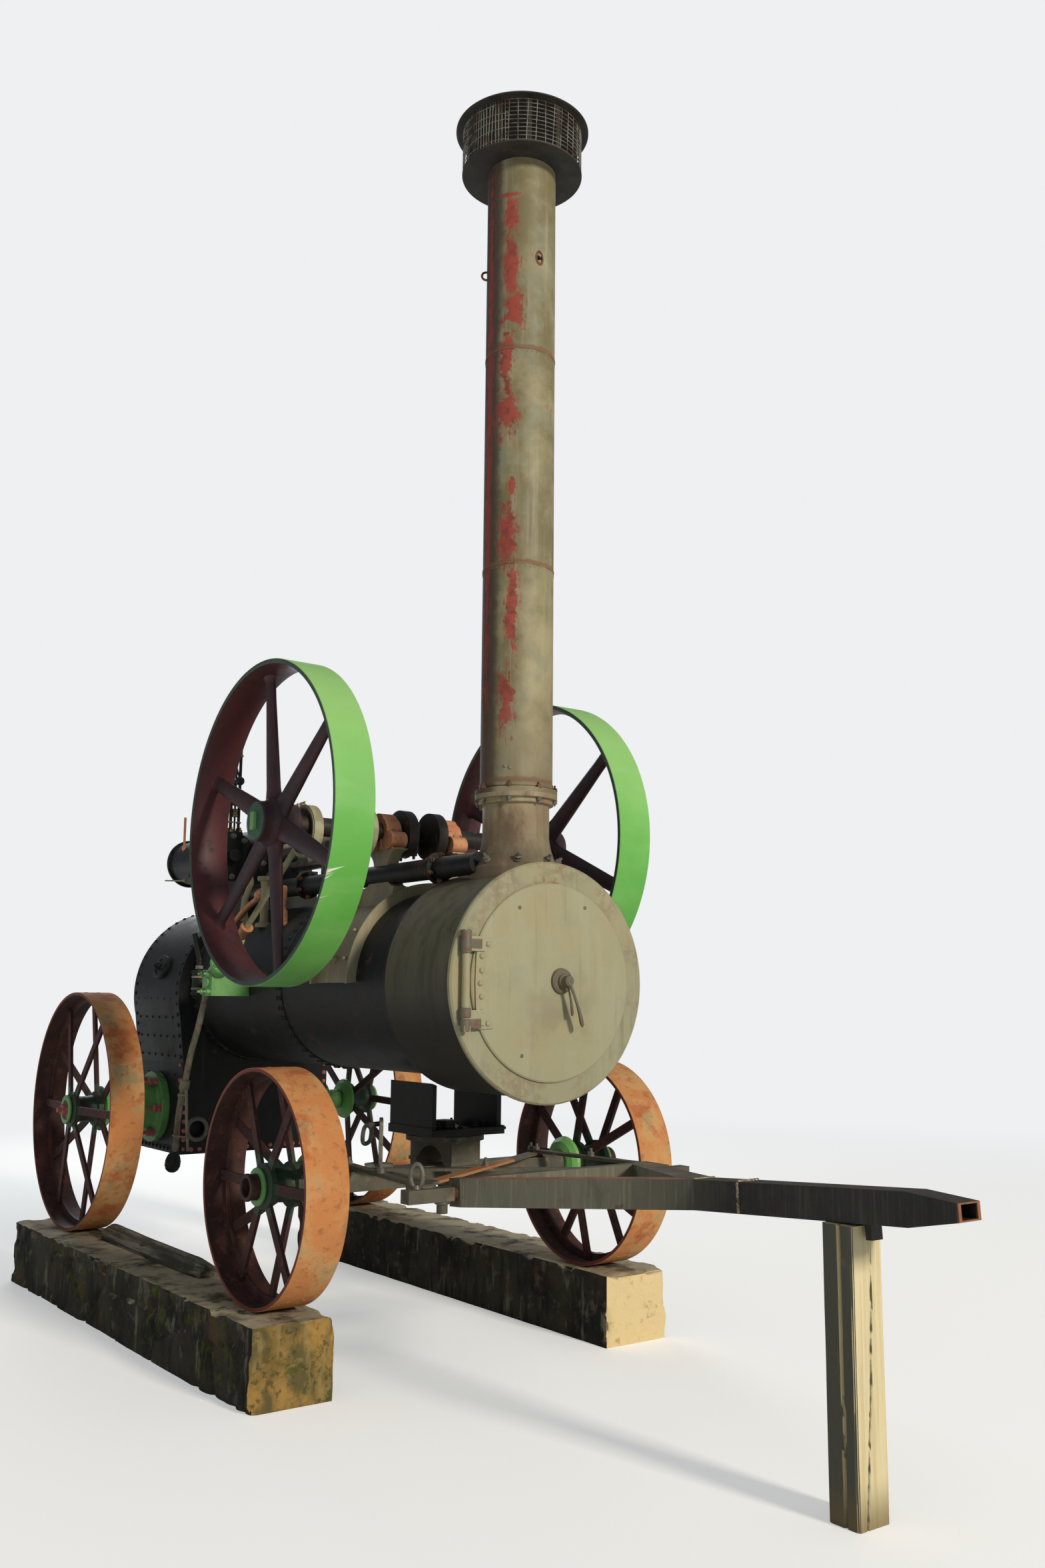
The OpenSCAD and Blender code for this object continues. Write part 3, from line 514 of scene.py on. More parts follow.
look = olive("smokebox_paint")
beside = look.y.step(FACE_Y + 0.035, FACE_Y + 0.06)
under = look.z.step(BOILER_Z + 0.20, BOILER_Z - 0.22)
# the side behind the ring is darkened as painted shade, near black low down as deeper painted shade and soot
look.coat(beside, (0.105, 0.092, 0.056), 0.6, 0.85)
look.runs(16, 0.40, 0.66, (0.070, 0.052, 0.033), 0.6, 0.6, beside, 0.16)
look.coat(beside * under, (0.012, 0.012, 0.009), 0.6, 0.92)
before = beside * -1.0 + 1.0
look.patch(3.2, 0.50, 0.60, (0.215, 0.120, 0.065), 0.8, 0.35, before * look.blotches(40, 0.40, 0.55))
painted("smokebox", look.done())

look = olive("door_paint", (0.338, 0.330, 0.202), 0.25, 0.35, 0.0)
below_pin = look.x.within(-0.10, 0.16, 0.12) * look.z.within(BOILER_Z - 0.19, BOILER_Z - 0.08, 0.10)
look.patch(7, 0.38, 0.60, (0.215, 0.190, 0.112), 0.6, 0.4, below_pin)
door_finish = look.done()
painted("smokebox_door", door_finish)


def at(x, y, z):
    return Matrix.Translation((x, y, z))


def toward(place, way, roll=0.0):
    """Stands a pattern made along +Z at a place, pointing a way."""
    turn = Vector(way).to_track_quat("Z", "Y").to_matrix().to_4x4()
    return Matrix.Translation(place) @ turn @ Matrix.Rotation(roll, 4, "Z")


def around(axis, angle, r=1.0):
    """The point at an angle and a distance round an axis through the origin."""
    a, b = r * math.cos(angle), r * math.sin(angle)
    return Vector({"X": (0, a, b), "Y": (a, 0, b), "Z": (a, b, 0)}[axis])


def circle(count, start=0.0):
    """Angles set out evenly round a full turn, the first one given in degrees."""
    return [math.radians(start + 360 * k / count) for k in range(count)]


def lathe(bm, profile, stand=Matrix.Identity(4), steps=32):
    """Spins a profile of [radius, height] about Z and stands it in place."""
    part = bmesh.new()
    points = [part.verts.new((r, 0, h)) for r, h in profile]
    edges = [part.edges.new(pair) for pair in zip(points, points[1:])]
    bmesh.ops.spin(part, geom=points + edges, cent=(0, 0, 0), axis=(0, 0, 1), angle=2 * math.pi,
                   steps=steps, use_merge=True)
    bmesh.ops.remove_doubles(part, verts=part.verts, dist=1e-5)
    add_mesh(bm, mesh_of(part), stand)


def pattern(build):
    """A shape made once, to be set out many times."""
    bm = bmesh.new()
    build(bm)
    return mesh_of(bm)


def set_out(bm, shape, places):
    for stand in places:
        add_mesh(bm, shape.copy(), stand)


def studded(name, body, finish, slot, *sets):
    """A piece that is one shape or more, each set out at its places."""
    bm = bmesh.new()
    for shape, places in sets:
        set_out(bm, shape, places)
    piece(name, bm, body, finish)


def rivet(r, h=0.6, steps=8):
    return pattern(lambda bm: lathe(bm, [(0, h * r), (0.55 * r, 0.86 * h * r), (0.9 * r, 0.42 * h * r),
                                         (r, 0), (0.9 * r, -0.3 * r), (0, -0.3 * r)], steps=steps))


def cone(bm, steps, low, high, depth, middle):
    return bmesh.ops.create_cone(bm, cap_ends=True, segments=steps, radius1=low, radius2=high, depth=depth,
                                 matrix=at(0, 0, middle))["verts"]


def nut(across, height, stud, washer=True):
    """A hexagon nut on its washer, with the stud's end standing out of it."""
    def build(bm):
        if washer:
            cone(bm, 16, across * 0.68, across * 0.66, height * 0.3, height * 0.05)
        made = cone(bm, 6, across * 0.577, across * 0.577, height, height * 0.6)
        rim = {e for v in made for e in v.link_edges if e.verts[0].co.z > height and e.verts[1].co.z > height}
        ease(bm, rim, across * 0.08, 1)
        if stud:
            tall = stud + height
            cone(bm, 10, across * 0.3, across * 0.24, tall, tall * 0.5 + height * 0.3)
    return pattern(build)


def ease(bm, edges, offset, segments=2):
    bmesh.ops.bevel(bm, geom=list(edges), offset=offset, affect="EDGES", segments=segments, profile=0.5,
                    material=-1)


def rim_edges(ring):
    return list({e for v in ring for e in v.link_edges if e.other_vert(v) in ring})


def round_bar(bm, points, radius, steps=12, ends=True, flat=1.0):
    """A bar bent through points, its radius one number or one at each point."""
    radii = radius if isinstance(radius, (list, tuple)) else [radius] * len(points)
    points = [Vector(p) for p in points]
    part, last_ring, side = bmesh.new(), None, None
    for i, (p, r) in enumerate(zip(points, radii)):
        way = (points[min(i + 1, len(points) - 1)] - points[max(i - 1, 0)]).normalized()
        if side is None:
            side = way.orthogonal().normalized()
        side = (side - way * side.dot(way)).normalized()
        stand = Matrix((side, way.cross(side), way)).transposed().to_4x4()
        stand.translation = p
        ring = bmesh.ops.create_circle(part, segments=steps, radius=r)["verts"]
        if flat != 1.0:
            bmesh.ops.scale(part, vec=(1, flat, 1), verts=ring)
        bmesh.ops.transform(part, matrix=stand, verts=ring)
        edges = rim_edges(ring)
        if ends and i in (0, len(points) - 1):
            bmesh.ops.contextual_create(part, geom=edges)
        if last_ring:
            bmesh.ops.bridge_loops(part, edges=last_ring + edges)
        last_ring = edges
    add_mesh(bm, mesh_of(part))


def curve_through(points, per=8):
    """Points on a smooth curve through the given ones."""
    points = [Vector(p) for p in points]
    ends = [points[0] * 2 - points[1]] + points + [points[-1] * 2 - points[-2]]
    run = []
    for a, b, c, d in zip(ends, ends[1:], ends[2:], ends[3:]):
        for k in range(per):
            t = k / per
            run.append(0.5 * ((2 * b) + (c - a) * t + (2 * a - 5 * b + 4 * c - d) * t * t
                              + (3 * b - a - 3 * c + d) * t ** 3))
    return run + [points[-1]]


def plate(bm, outline, thick, stand, rim=0.0015):
    """A flat plate cut to an outline of (x, y), its front edge eased, stood in place."""
    part = bmesh.new()
    face = part.faces.new([part.verts.new((x, y, 0)) for x, y in outline])
    grown = bmesh.ops.extrude_face_region(part, geom=[face])["geom"]
    lifted = [g for g in grown if isinstance(g, bmesh.types.BMVert)]
    bmesh.ops.translate(part, vec=(0, 0, thick), verts=lifted)
    if rim:
        ease(part, [e for g in grown if isinstance(g, bmesh.types.BMFace) for e in g.edges], rim)
    add_mesh(bm, mesh_of(part), stand)


def oblong(wide, tall):
    """The outline of a plate of half a width and half a height."""
    return [(-wide, -tall), (wide, -tall), (wide, tall), (-wide, tall)]


# the door's hinge plate, its seven rivets, the knuckles on the pin and a few filled screw holes
FORWARD = (0, -1, 0)
# stands a plate upright: its y becomes height, and its thickness points forward
FRONT = Matrix(((1, 0, 0, 0), (0, 0, -1, 0), (0, 1, 0, 0), (0, 0, 0, 1)))
HINGE = Vector((-0.458, -0.916, BOILER_Z))
bm = bmesh.new()
outline = [(-0.396, 0.169), (-0.321, 0.173), (-0.328, 0.132), (-0.346, 0.122), (-0.357, 0.063),
           (-0.359, -0.013), (-0.355, -0.082), (-0.343, -0.135), (-0.316, -0.152), (-0.315, -0.195),
           (-0.390, -0.198), (-0.402, -0.112), (-0.407, -0.010), (-0.404, 0.092)]
plate(bm, outline, 0.009, at(0, -0.903, BOILER_Z) @ FRONT)
heads = ((-0.346, 0.150), (-0.377, 0.100), (-0.377, 0.041), (-0.384, -0.011), (-0.377, -0.065),
         (-0.373, -0.127), (-0.343, -0.174))
set_out(bm, rivet(0.013, 0.75, 12), [toward((x, -0.912, BOILER_Z + z), FORWARD) for x, z in heads])
piece("door_hinge_plate", bm, "smokebox_door", door_finish)
bm = bmesh.new()
for z, height, r in ((0.110, 0.096, 0.0225), (-0.150, 0.040, 0.0235), (-0.206, 0.052, 0.0210)):
    lathe(bm, [(0, 0), (r - 0.003, 0), (r, 0.003), (r, height - 0.004), (r - 0.004, height),
               (0, height + 0.001)], Matrix.Translation(HINGE + Vector((0, 0, z))))
for z in (0.150, -0.174):
    plate(bm, [(-0.020, -0.017), (0.075, -0.020), (0.075, 0.020), (-0.020, 0.017)], 0.010,
          at(HINGE.x, HINGE.y + 0.002, BOILER_Z + z) @ FRONT)
look = Finish("hinge_iron", (0.135, 0.118, 0.078), 0.5)
look.patch(30, 0.48, 0.66, (0.165, 0.080, 0.045), 0.75)
hinge_iron = look.wear((0.42, 0.38, 0.28), 0.4, radius=0.002).grain(150, 0.0004).done()
piece("hinge_knuckles", bm, "smokebox_door", hinge_iron)
plugs = ((-0.164, -0.908, -0.307), (0.368, -0.9035, 0.016), (-0.181, -0.9075, 0.309), (0.175, -0.9065, 0.324))
studded("door_plugs", "smokebox_door", hinge_iron, "olive_paint",
        (rivet(0.009, 0.25, 12), [toward((x, y, BOILER_Z + z), FORWARD) for x, y, z in plugs]))

# Door spindle
# The door is drawn shut by a screwed spindle through its middle, with a washer, a turning hub and
# two forged handles that hang side by side.
bm = bmesh.new()
pin = Vector((0.030, -0.924, BOILER_Z + 0.004))
for profile, steps in (
        ([(0, 0.016), (0.046, 0.016), (0.053, 0.011), (0.055, 0.003), (0.055, -0.014), (0, -0.014)], 48),
        ([(0, 0.030), (0.027, 0.030), (0.030, 0.026), (0.030, 0.010), (0, 0.010)], 32),
        ([(0, 0.066), (0.015, 0.066), (0.019, 0.062), (0.019, 0.048), (0.016, 0.046), (0.016, 0.038),
          (0.022, 0.036), (0.022, 0.026), (0, 0.026)], 32),
        ([(0, 0.071), (0.005, 0.071), (0.007, 0.068), (0.007, 0.060), (0, 0.060)], 16)):
    lathe(bm, profile, toward(pin, FORWARD), steps)
for reach, lean, length, wide in ((0.034, 13, 0.150, 0.0085), (0.054, 21, 0.205, 0.0125)):
    top = pin + Vector((0, -reach, 0))
    way = Vector((math.sin(math.radians(lean)), 0, -math.cos(math.radians(lean))))
    run = [top + way * (length * t) + Vector((0, -0.010 * math.sin(t * 3), 0)) for t in
           (-0.06, 0.0, 0.1, 0.3, 0.55, 0.75, 0.90, 0.97, 1.0)]
    radii = [wide * k for k in (0.9, 1.35, 1.0, 0.72, 0.85, 1.1, 1.25, 1.05, 0.5)]
    round_bar(bm, run, radii, 14, flat=0.62)
    lathe(bm, [(0, 0.009), (0.021, 0.009), (0.023, 0.006), (0.023, -0.006), (0.021, -0.009), (0, -0.009)],
          toward(top, FORWARD))
piece("door_handles", bm, "smokebox_door", hinge_iron, ["door_darts"])

# Barrel and firebox
# The boiler barrel is one rolled plate with lapped and riveted bands. The firebox behind it is an
# arched shell with waisted sides, tied across its water spaces by rows of screwed stays.
BACK = (0, 1, 0)
UP = (0, 0, 1)
SIDES = ((-1, "left"), (1, "right"))


def black_paint(name, dust=0.5, eased=0.0):
    made = Finish(name, (0.0070, 0.0085, 0.0078), 0.48, shine=0.26, eased=eased)
    made.patch(3, 0.42, 0.68, (0.015, 0.0175, 0.0155), 0.54)
    made.runs(18, 0.55, 0.74, (0.032, 0.032, 0.027), 0.62, 0.55)
    made.patch(5, 0.34, 0.62, (0.105, 0.105, 0.085), 0.75, dust, made.way_z.step(0.25, 0.95))
    made.flecks((6, 0.60, 0.68), (34, 0.45, 0.56), (0.105, 0.045, 0.024), 0.85)
    made.wear((0.125, 0.105, 0.080), 0.5, 0.8)
    return made.grain(110, 0.0004).dent(7, 0.3, 0.7, 0.0009).done()


boiler_black = black_paint("boiler_black")
painted("barrel firebox tube_plate foundation_ring", boiler_black)
BARREL_R, BAND = 0.430, 0.005
round_head = rivet(0.0125, 0.62)
places = []
for y in (-0.304, -0.275, 0.805, 0.835, 1.875, 1.905):
    for k in range(52):
        out = around("Y", 2 * math.pi * (k + 0.5 * (round(y * 1000) % 2)) / 52)
        head = out * (BARREL_R + BAND) + Vector((0, y, BOILER_Z))
        if y < 1.8 or (head.z <= BOILER_Z + 0.30 and abs(head.x) <= 0.44):
            places.append(toward(head, out))
studded("barrel_rivets", "engine", boiler_black, "black_paint", (round_head, places))

FIREBOX = {"front": 1.920, "back": 2.610, "bottom": BOILER_Z - 0.940, "arch": BOILER_Z - 0.055,
           "r": 0.510, "w": 0.460, "waist": BOILER_Z - 0.450}
AXLE = Vector((0, 2.287, 0.9803))


def firebox_side(z):
    """Half the firebox's width at a height below its arch."""
    lift = max(0.0, (z - FIREBOX["waist"]) / (FIREBOX["arch"] - FIREBOX["waist"]))
    return FIREBOX["w"] + (FIREBOX["r"] - FIREBOX["w"]) * min(1.0, lift)


stays = []
for side in (-1, 1):
    for row in range(8):
        z = BOILER_Z - 0.085 - 0.1085 * row
        for column in range(6):
            y = FIREBOX["front"] + 0.115 + 0.0985 * column
            if (Vector((0, y, z)) - AXLE).length >= 0.225:
                stays.append(toward((side * (firebox_side(z) - 0.001), y, z), (side, 0, 0)))
places = []
for y in (FIREBOX["front"] + 0.032, FIREBOX["back"] - 0.032):
    for k in range(29):
        out = around("Y", math.pi * k / 28)
        places.append(toward(out * FIREBOX["r"] + Vector((0, y, FIREBOX["arch"])), out))
    for side in (-1, 1):
        for k in range(14):
            z = FIREBOX["arch"] - 0.060 * (k + 1)
            if y > 2.0 or z > BOILER_Z - 0.44:
                places.append(toward((side * firebox_side(z), y, z), (side, 0, 0)))
for side in (-1, 1):
    for k in range(12):
        places.append(toward((side * (FIREBOX["w"] + 0.006), FIREBOX["front"] + 0.045 + 0.055 * k,
                              FIREBOX["bottom"] + 0.010), (side, 0, 0)))
    for k in range(13):
        z = FIREBOX["arch"] - 0.062 * k
        places.append(toward((side * (firebox_side(z) - 0.035), FIREBOX["back"], z - 0.062), BACK))
for k in range(15):
    places.append(toward((-0.42 + 0.06 * k, FIREBOX["back"] + 0.006, FIREBOX["bottom"] + 0.010), BACK))
for k in range(9):
    for row in range(3):
        places.append(toward((-0.36 + 0.09 * k, FIREBOX["back"], BOILER_Z - 0.52 - 0.12 * row), BACK))
for k in range(25):
    head = around("Y", math.pi * k / 24, 0.475) + Vector((0, FIREBOX["back"], FIREBOX["arch"]))
    places.append(toward(head, BACK))
studded("firebox_stays", "engine", boiler_black, "black_paint", (rivet(0.0095, 0.7), stays),
        (round_head, places))

# the rivets of the throat plate stand out in pink-red primer; its mud hole has a bare ring
look = Finish("red_primer", (0.42, 0.105, 0.095), 0.6, shine=0.4)
red_primer = look.patch(60, 0.46, 0.62, (0.52, 0.215, 0.18)).patch(90, 0.60, 0.70, (0.10, 0.04, 0.03)).done()
places = []
for side in (-1, 1):
    for k in range(10):
        places.append(toward((side * 0.440, FIREBOX["front"], BOILER_Z - 0.470 - 0.0505 * k), FORWARD))
    for k in range(6):
        places.append(toward((side * FIREBOX["w"], FIREBOX["front"] + 0.036, BOILER_Z - 0.46 - 0.085 * k),
                             (side, 0, 0)))
for k in range(17):
    places.append(toward((-0.392 + 0.049 * k, FIREBOX["front"] - 0.006, FIREBOX["bottom"] + 0.012), FORWARD))
studded("throat_rivets", "engine", red_primer, "orange_primer", (rivet(0.0135, 0.8, 10), places))

look = Finish("worn_iron", (0.150, 0.145, 0.115), 0.48, metal=0.35)
look.patch(20, 0.44, 0.64, (0.080, 0.072, 0.055), 0.62)
look.patch(45, 0.58, 0.68, (0.170, 0.080, 0.042), 0.8, 0.7)
iron = look.wear((0.34, 0.33, 0.28), 0.38, radius=0.003).grain(140, 0.0004).done()
bm = bmesh.new()
lathe(bm, [(0.047, -0.004), (0.047, 0.004), (0.051, 0.008), (0.060, 0.008), (0.068, 0.005), (0.072, 0.0),
           (0.072, -0.004), (0.047, -0.004)],
      toward((-0.360, FIREBOX["front"], BOILER_Z - 0.818), FORWARD), 40)
piece("mud_hole_ring", bm, "engine", iron)

# a raised rim and a nut on each oval hand-hole cover of the shell's shoulders
bm = bmesh.new()
for side in (-1, 1):
    out = around("Y", math.radians(90 - side * 73))
    stand = Matrix((BACK, out.cross(Vector(BACK)), out)).transposed().to_4x4()
    stand.translation = Vector((0, 2.215, FIREBOX["arch"])) + out * FIREBOX["r"]
    lathe(bm, [(0.062, 0.0170), (0.064, 0.0215), (0.070, 0.0240), (0.084, 0.0240), (0.092, 0.0215),
               (0.0965, 0.016), (0.0975, 0.0), (0.0975, -0.020)],
          stand @ Matrix.Diagonal((1.0, 0.72, 1, 1)), 48)
    lathe(bm, [(0, 0.068), (0.009, 0.067), (0.011, 0.062), (0.011, 0.048)], stand, 16)
    lathe(bm, [(0.020, 0.046), (0.0235, 0.0425), (0.0245, 0.037), (0.0245, 0.033)], stand, 24)
piece("hand_hole_rims", bm, "engine", boiler_black)

# Firehole door, gauges and fire bars
# The backhead carries the firehole door on its pin, a gauge glass, a pressure gauge and try cocks,
# all black iron or dull brass.
painted("fire_door grate", black_paint("hot_black", 0.2))
look = Finish("dull_brass", (0.300, 0.220, 0.095), 0.42, metal=0.75)
look.patch(18, 0.42, 0.64, (0.160, 0.105, 0.045), 0.6)
look.patch(40, 0.56, 0.66, (0.090, 0.105, 0.060), 0.75, 0.7)
brass = look.wear((0.50, 0.39, 0.18), 0.3, radius=0.003).grain(150, 0.0003).done()
painted("gauges", brass)
bm = bmesh.new()
gauge = Vector((-0.060, 2.702, BOILER_Z + 0.330))
lathe(bm, [(0.050, 0.0), (0.052, 0.006), (0.064, 0.010), (0.069, 0.006), (0.070, -0.004), (0.066, -0.010)],
      toward(gauge, BACK), 48)
for x in (0.250, 0.330):
    set_out(bm, nut(0.026, 0.014, 0.0), [toward((x, 2.662, BOILER_Z + z), BACK) for z in (0.090, 0.300)])
    lathe(bm, [(0, 0.020), (0.014, 0.020), (0.017, 0.014), (0.017, -0.012), (0.012, -0.016)],
          at(x, 2.644, BOILER_Z + 0.336), 20)
    round_bar(bm, [(x, 2.664, BOILER_Z + 0.09), (x, 2.700, BOILER_Z + 0.085), (x, 2.712, BOILER_Z + 0.060),
                   (x, 2.714, BOILER_Z + 0.030)], [0.007, 0.006, 0.006, 0.009], 10)
for k in range(3):
    y, z = FIREBOX["back"], BOILER_Z + 0.10 + 0.075 * k
    round_bar(bm, [(0.12, y - 0.004, z), (0.12, y + 0.050, z), (0.12, y + 0.060, z - 0.006),
                   (0.12, y + 0.062, z - 0.030)], [0.010, 0.010, 0.009, 0.007])
    round_bar(bm, [(0.098, y + 0.040, z + 0.016), (0.142, y + 0.040, z + 0.016)], 0.005, 10)
    lathe(bm, [(0, 0.018), (0.008, 0.016), (0.012, 0.006), (0.012, -0.002)],
          at(0.12, y + 0.040, z + 0.008), 16)
piece("backhead_fittings", bm, "engine", brass)
look = Finish("gauge_dial", (0.62, 0.60, 0.52), 0.5)
flat_x = look.x - gauge.x
flat_z = look.z - gauge.z
tick = flat_z.math("ARCTAN2", flat_x).math("PINGPONG", math.pi / 24).step(0.022, 0.014)
ticks = tick * (flat_x * flat_x + flat_z * flat_z).math("SQRT").within(0.038, 0.045, 0.001)
look.coat(ticks, (0.02, 0.02, 0.02)).patch(30, 0.45, 0.7, (0.40, 0.33, 0.19), strength=0.7)
look.dent(60, 0.4, 0.6, 0.0002)
bm = bmesh.new()
lathe(bm, [(0, 0.0035), (0.050, 0.0035), (0.0505, 0.001), (0.0505, -0.004), (0, -0.004)],
      toward(gauge, BACK), 40)
piece("gauge_face", bm, "engine", look.done())
bm = bmesh.new()
plate(bm, [(-0.002, -0.010), (0.002, -0.010), (0.0012, 0.036), (-0.0012, 0.036)], 0.0015,
      toward(gauge + Vector((0, 0.0036, 0)), BACK, 0.8), 0)
piece("gauge_hand", bm, "engine", iron)
bm = bmesh.new()
LATCH_Z = BOILER_Z - 0.150
latch = ((0.100, 2.628), (0.100, 2.660), (0.112, 2.672), (0.150, 2.676), (0.190, 2.676))
round_bar(bm, [(x, y, LATCH_Z) for x, y in latch], [0.009, 0.008, 0.008, 0.009, 0.013])
set_out(bm, rivet(0.009, 0.7), [toward((x, 2.633, LATCH_Z + z), BACK) for z in (-0.060, 0.060)
                                for x in (-0.170, -0.145)])
set_out(bm, rivet(0.008, 0.7), [toward(around("Y", a, 0.115) + Vector((0, 2.629, LATCH_Z)), BACK)
                                for a in (0.6, 1.6, 2.6, 3.7, 4.7, 5.7)])
piece("firehole_latch", bm, "fire_door", iron)

# Rear axle brackets
# Each rear wheel runs on a cast bracket studded to the firebox's side. The casting is bright green
# and its long studs are pink-red.
look = Finish("green_paint", (0.120, 0.340, 0.090), 0.38, eased=0.004)
look.patch(6, 0.40, 0.66, (0.185, 0.410, 0.130), 0.45)
look.runs(16, 0.54, 0.72, (0.075, 0.215, 0.055), 0.55, 0.6)
look.flecks((9, 0.56, 0.66), (40, 0.46, 0.56), (0.120, 0.070, 0.035), 0.8)
green_paint = look.wear((0.36, 0.47, 0.27), 0.55).grain(90, 0.0006).done()
painted("stub_axles feed_pump", green_paint)
places = [toward(around("X", a, 0.165) + Vector((side * 0.500, AXLE.y, AXLE.z)), (side, 0, 0), k)
          for side in (-1, 1) for k, a in enumerate(circle(6))]
studded("axle_bracket_studs", "engine", red_primer, "orange_primer", (nut(0.036, 0.026, 0.040), places),
        (nut(0.036, 0.018, 0.0, False), [stand @ at(0, 0, 0.026) for stand in places]))

# Chimney and its foot
# The cast foot has rusted brown. The chimney is three rolled lengths lapped and riveted, painted
# olive, with red primer showing where the paint has come off its near side.


def round_axis(name, keep, letters, distance_along):
    """An effect that gives the distance from an axis, the angle round it and the place along it."""
    group, given, out = effect(name, {"Vector": (0, 0, 0), "Centre": (0, 0, 0)},
                               {"Radius": 0.0, "Angle": 0.0, "Along": 0.0})
    moved = node(group, "VectorMath", 0, {"operation": "SUBTRACT"}, _0=given["Vector"], _1=given["Centre"])
    flat = node(group, "VectorMath", 0, {"operation": "MULTIPLY"}, _0=moved, _1=keep)
    across, up, along = (parts(moved)["XYZ".index(letter)] for letter in letters)
    feed(group, out["Radius"], node(group, "VectorMath", "Value", {"operation": "LENGTH"}, _0=flat))
    feed(group, out["Angle"], up.math("ARCTAN2", across))
    feed(group, out["Along"], along.math("ABSOLUTE") if distance_along else along)


round_axis("round a post", (1, 1, 0), "XYZ", False)
look = olive("chimney_foot_paint", (0.255, 0.165, 0.085), 0.9, eased=0.003)
look.patch(6, 0.42, 0.60, (0.120, 0.062, 0.034), 0.8, 0.85, stretch=(1, 1, 0.5))
look.patch(4, 0.50, 0.64, (0.215, 0.180, 0.105), 0.7, 0.8)
look.coat(look.z.step(BOILER_Z + 0.80, BOILER_Z + 0.55), (0.115, 0.100, 0.062), 0.7, 0.55)
painted("chimney_base", look.done())

CHIMNEY = {"y": -0.626, "r": 0.165, "foot": BOILER_Z + 0.832, "top": BOILER_Z + 3.901}
NEAR = -126.3
LAPS = (1.892, 2.937)
look = olive("chimney_paint", (0.168, 0.142, 0.064), 0.5)
stack = (0, CHIMNEY["y"], BOILER_Z)
height = look.made("round a post", "Along", Centre=stack)
angle = look.made("round a post", "Angle", Centre=stack)
torn = node(look.tree, "TexNoise", "Fac", Vector=look.spot, Scale=16.0, Detail=8.0, Roughness=0.72) - 0.5
# each bare patch is an oval of a height and an angle from the near side, its edge torn
PATCHES = ((3.605, 0.095, -18, 13, 0.7), (3.712, 0.012, -20, 24, 0.9), (3.345, 0.170, -16.5, 15, 0.45),
           (3.110, 0.100, -9, 17, 1.3), (2.870, 0.190, -25, 12, 1.5), (2.600, 0.100, -23, 22, 1.0),
           (2.250, 0.045, -12, 6, 0.9), (2.020, 0.150, -20, 17, 0.9), (1.690, 0.220, -10, 11, 1.0),
           (1.250, 0.150, -18, 14, 1.1), (2.500, 1.500, -59, 9, 0.5))
nearest = None
for z, half_z, turn, half_turn, ragged in PATCHES:
    up = (height - z) / half_z
    turned = angle - math.radians(NEAR + turn)
    # only the last patch lies across the back, where the angle jumps by a full turn
    if NEAR + turn < -180:
        turned = turned.math("WRAP", math.pi, -math.pi)
    aside = turned / math.radians(half_turn)
    away = torn * (ragged * 3.2) + (up * up + aside * aside).math("SQRT")
    nearest = nearest.math("MINIMUM", away) if nearest else away
scratched = nearest.step(1.65, 0.80) * look.blotches(75, 0.50, 0.60, (1, 1, 0.22))
bare = nearest.step(0.95, 0.62).math("MAXIMUM", scratched)
# the left side, turned from the lamp, is near-black red-brown: bare primer there, darkened as painted shade
far_side = torn * 0.5 + (angle - math.radians(NEAR - 78)).math("WRAP", math.pi, -math.pi)
look.coat(far_side.within(math.radians(-42), math.radians(33), 0.34), (0.045, 0.025, 0.017), 0.75, 0.92)
look.coat(bare, (0.330, 0.042, 0.030), 0.72, 0.88)
look.patch(20, 0.46, 0.64, (0.190, 0.045, 0.032), 0.8, on=bare)
# a narrow darker band where the lit side turns away on the left: painted shade
look.coat(angle.within(math.radians(NEAR - 48), math.radians(NEAR - 40), 0.14),
          (0.120, 0.085, 0.050), 0.65, 0.45)
for z in (0.890, *LAPS):
    look.coat((torn * 0.05 + height).within(z - 0.007, z + 0.004, 0.012), (0.185, 0.090, 0.045), 0.8, 0.75)
smoke = ((torn + 0.5) * 0.4 + height).within(0.80, 1.20, 0.35)
stack_paint = look.coat(smoke, (0.150, 0.105, 0.060), 0.7, 0.40).raise_by(bare, -0.0006).done()
painted("chimney", stack_paint)


def on_chimney(degrees, z, r):
    """A place on the chimney at an angle from its near side, and the way out from it."""
    out = around("Z", math.radians(NEAR + degrees))
    return Vector((0, CHIMNEY["y"], z)) + out * r, out


bm = bmesh.new()
r = CHIMNEY["r"]
small_head = rivet(0.0052, 0.5, 6)
for z in LAPS:
    lathe(bm, [(r - 0.004, 0.0), (r + 0.0016, 0.0), (r + 0.0022, -0.0015), (r + 0.0022, -0.010),
               (r - 0.004, -0.012)], at(0, CHIMNEY["y"], BOILER_Z + z), 96)
    for a in circle(44):
        out = around("Z", a)
        head = Vector((0, CHIMNEY["y"], BOILER_Z + z - 0.022)) + out * (r - 0.0005)
        set_out(bm, small_head, [toward(head, out)])
lathe(bm, [(r - 0.003, 0.0), (r + 0.004, 0.001), (r + 0.005, 0.010), (r + 0.004, 0.020), (r - 0.003, 0.021)],
      at(0, CHIMNEY["y"], CHIMNEY["foot"] + 0.030), 96)
set_out(bm, rivet(0.008, 0.7), [toward(*on_chimney(turn, BOILER_Z + z, r))
                                for turn, z in ((-18, 0.948), (-10, 0.940))])
piece("chimney_laps", bm, "chimney", stack_paint, sharp=40)

look = Finish("rusty_iron", (0.130, 0.060, 0.032), 0.85, shine=0.3)
look.patch(12, 0.42, 0.62, (0.215, 0.095, 0.045), 0.9)
look.patch(30, 0.50, 0.64, (0.060, 0.040, 0.028), 0.75)
rusty = look.patch(70, 0.60, 0.70, (0.330, 0.180, 0.095), strength=0.6).grain(120, 0.0009).done()
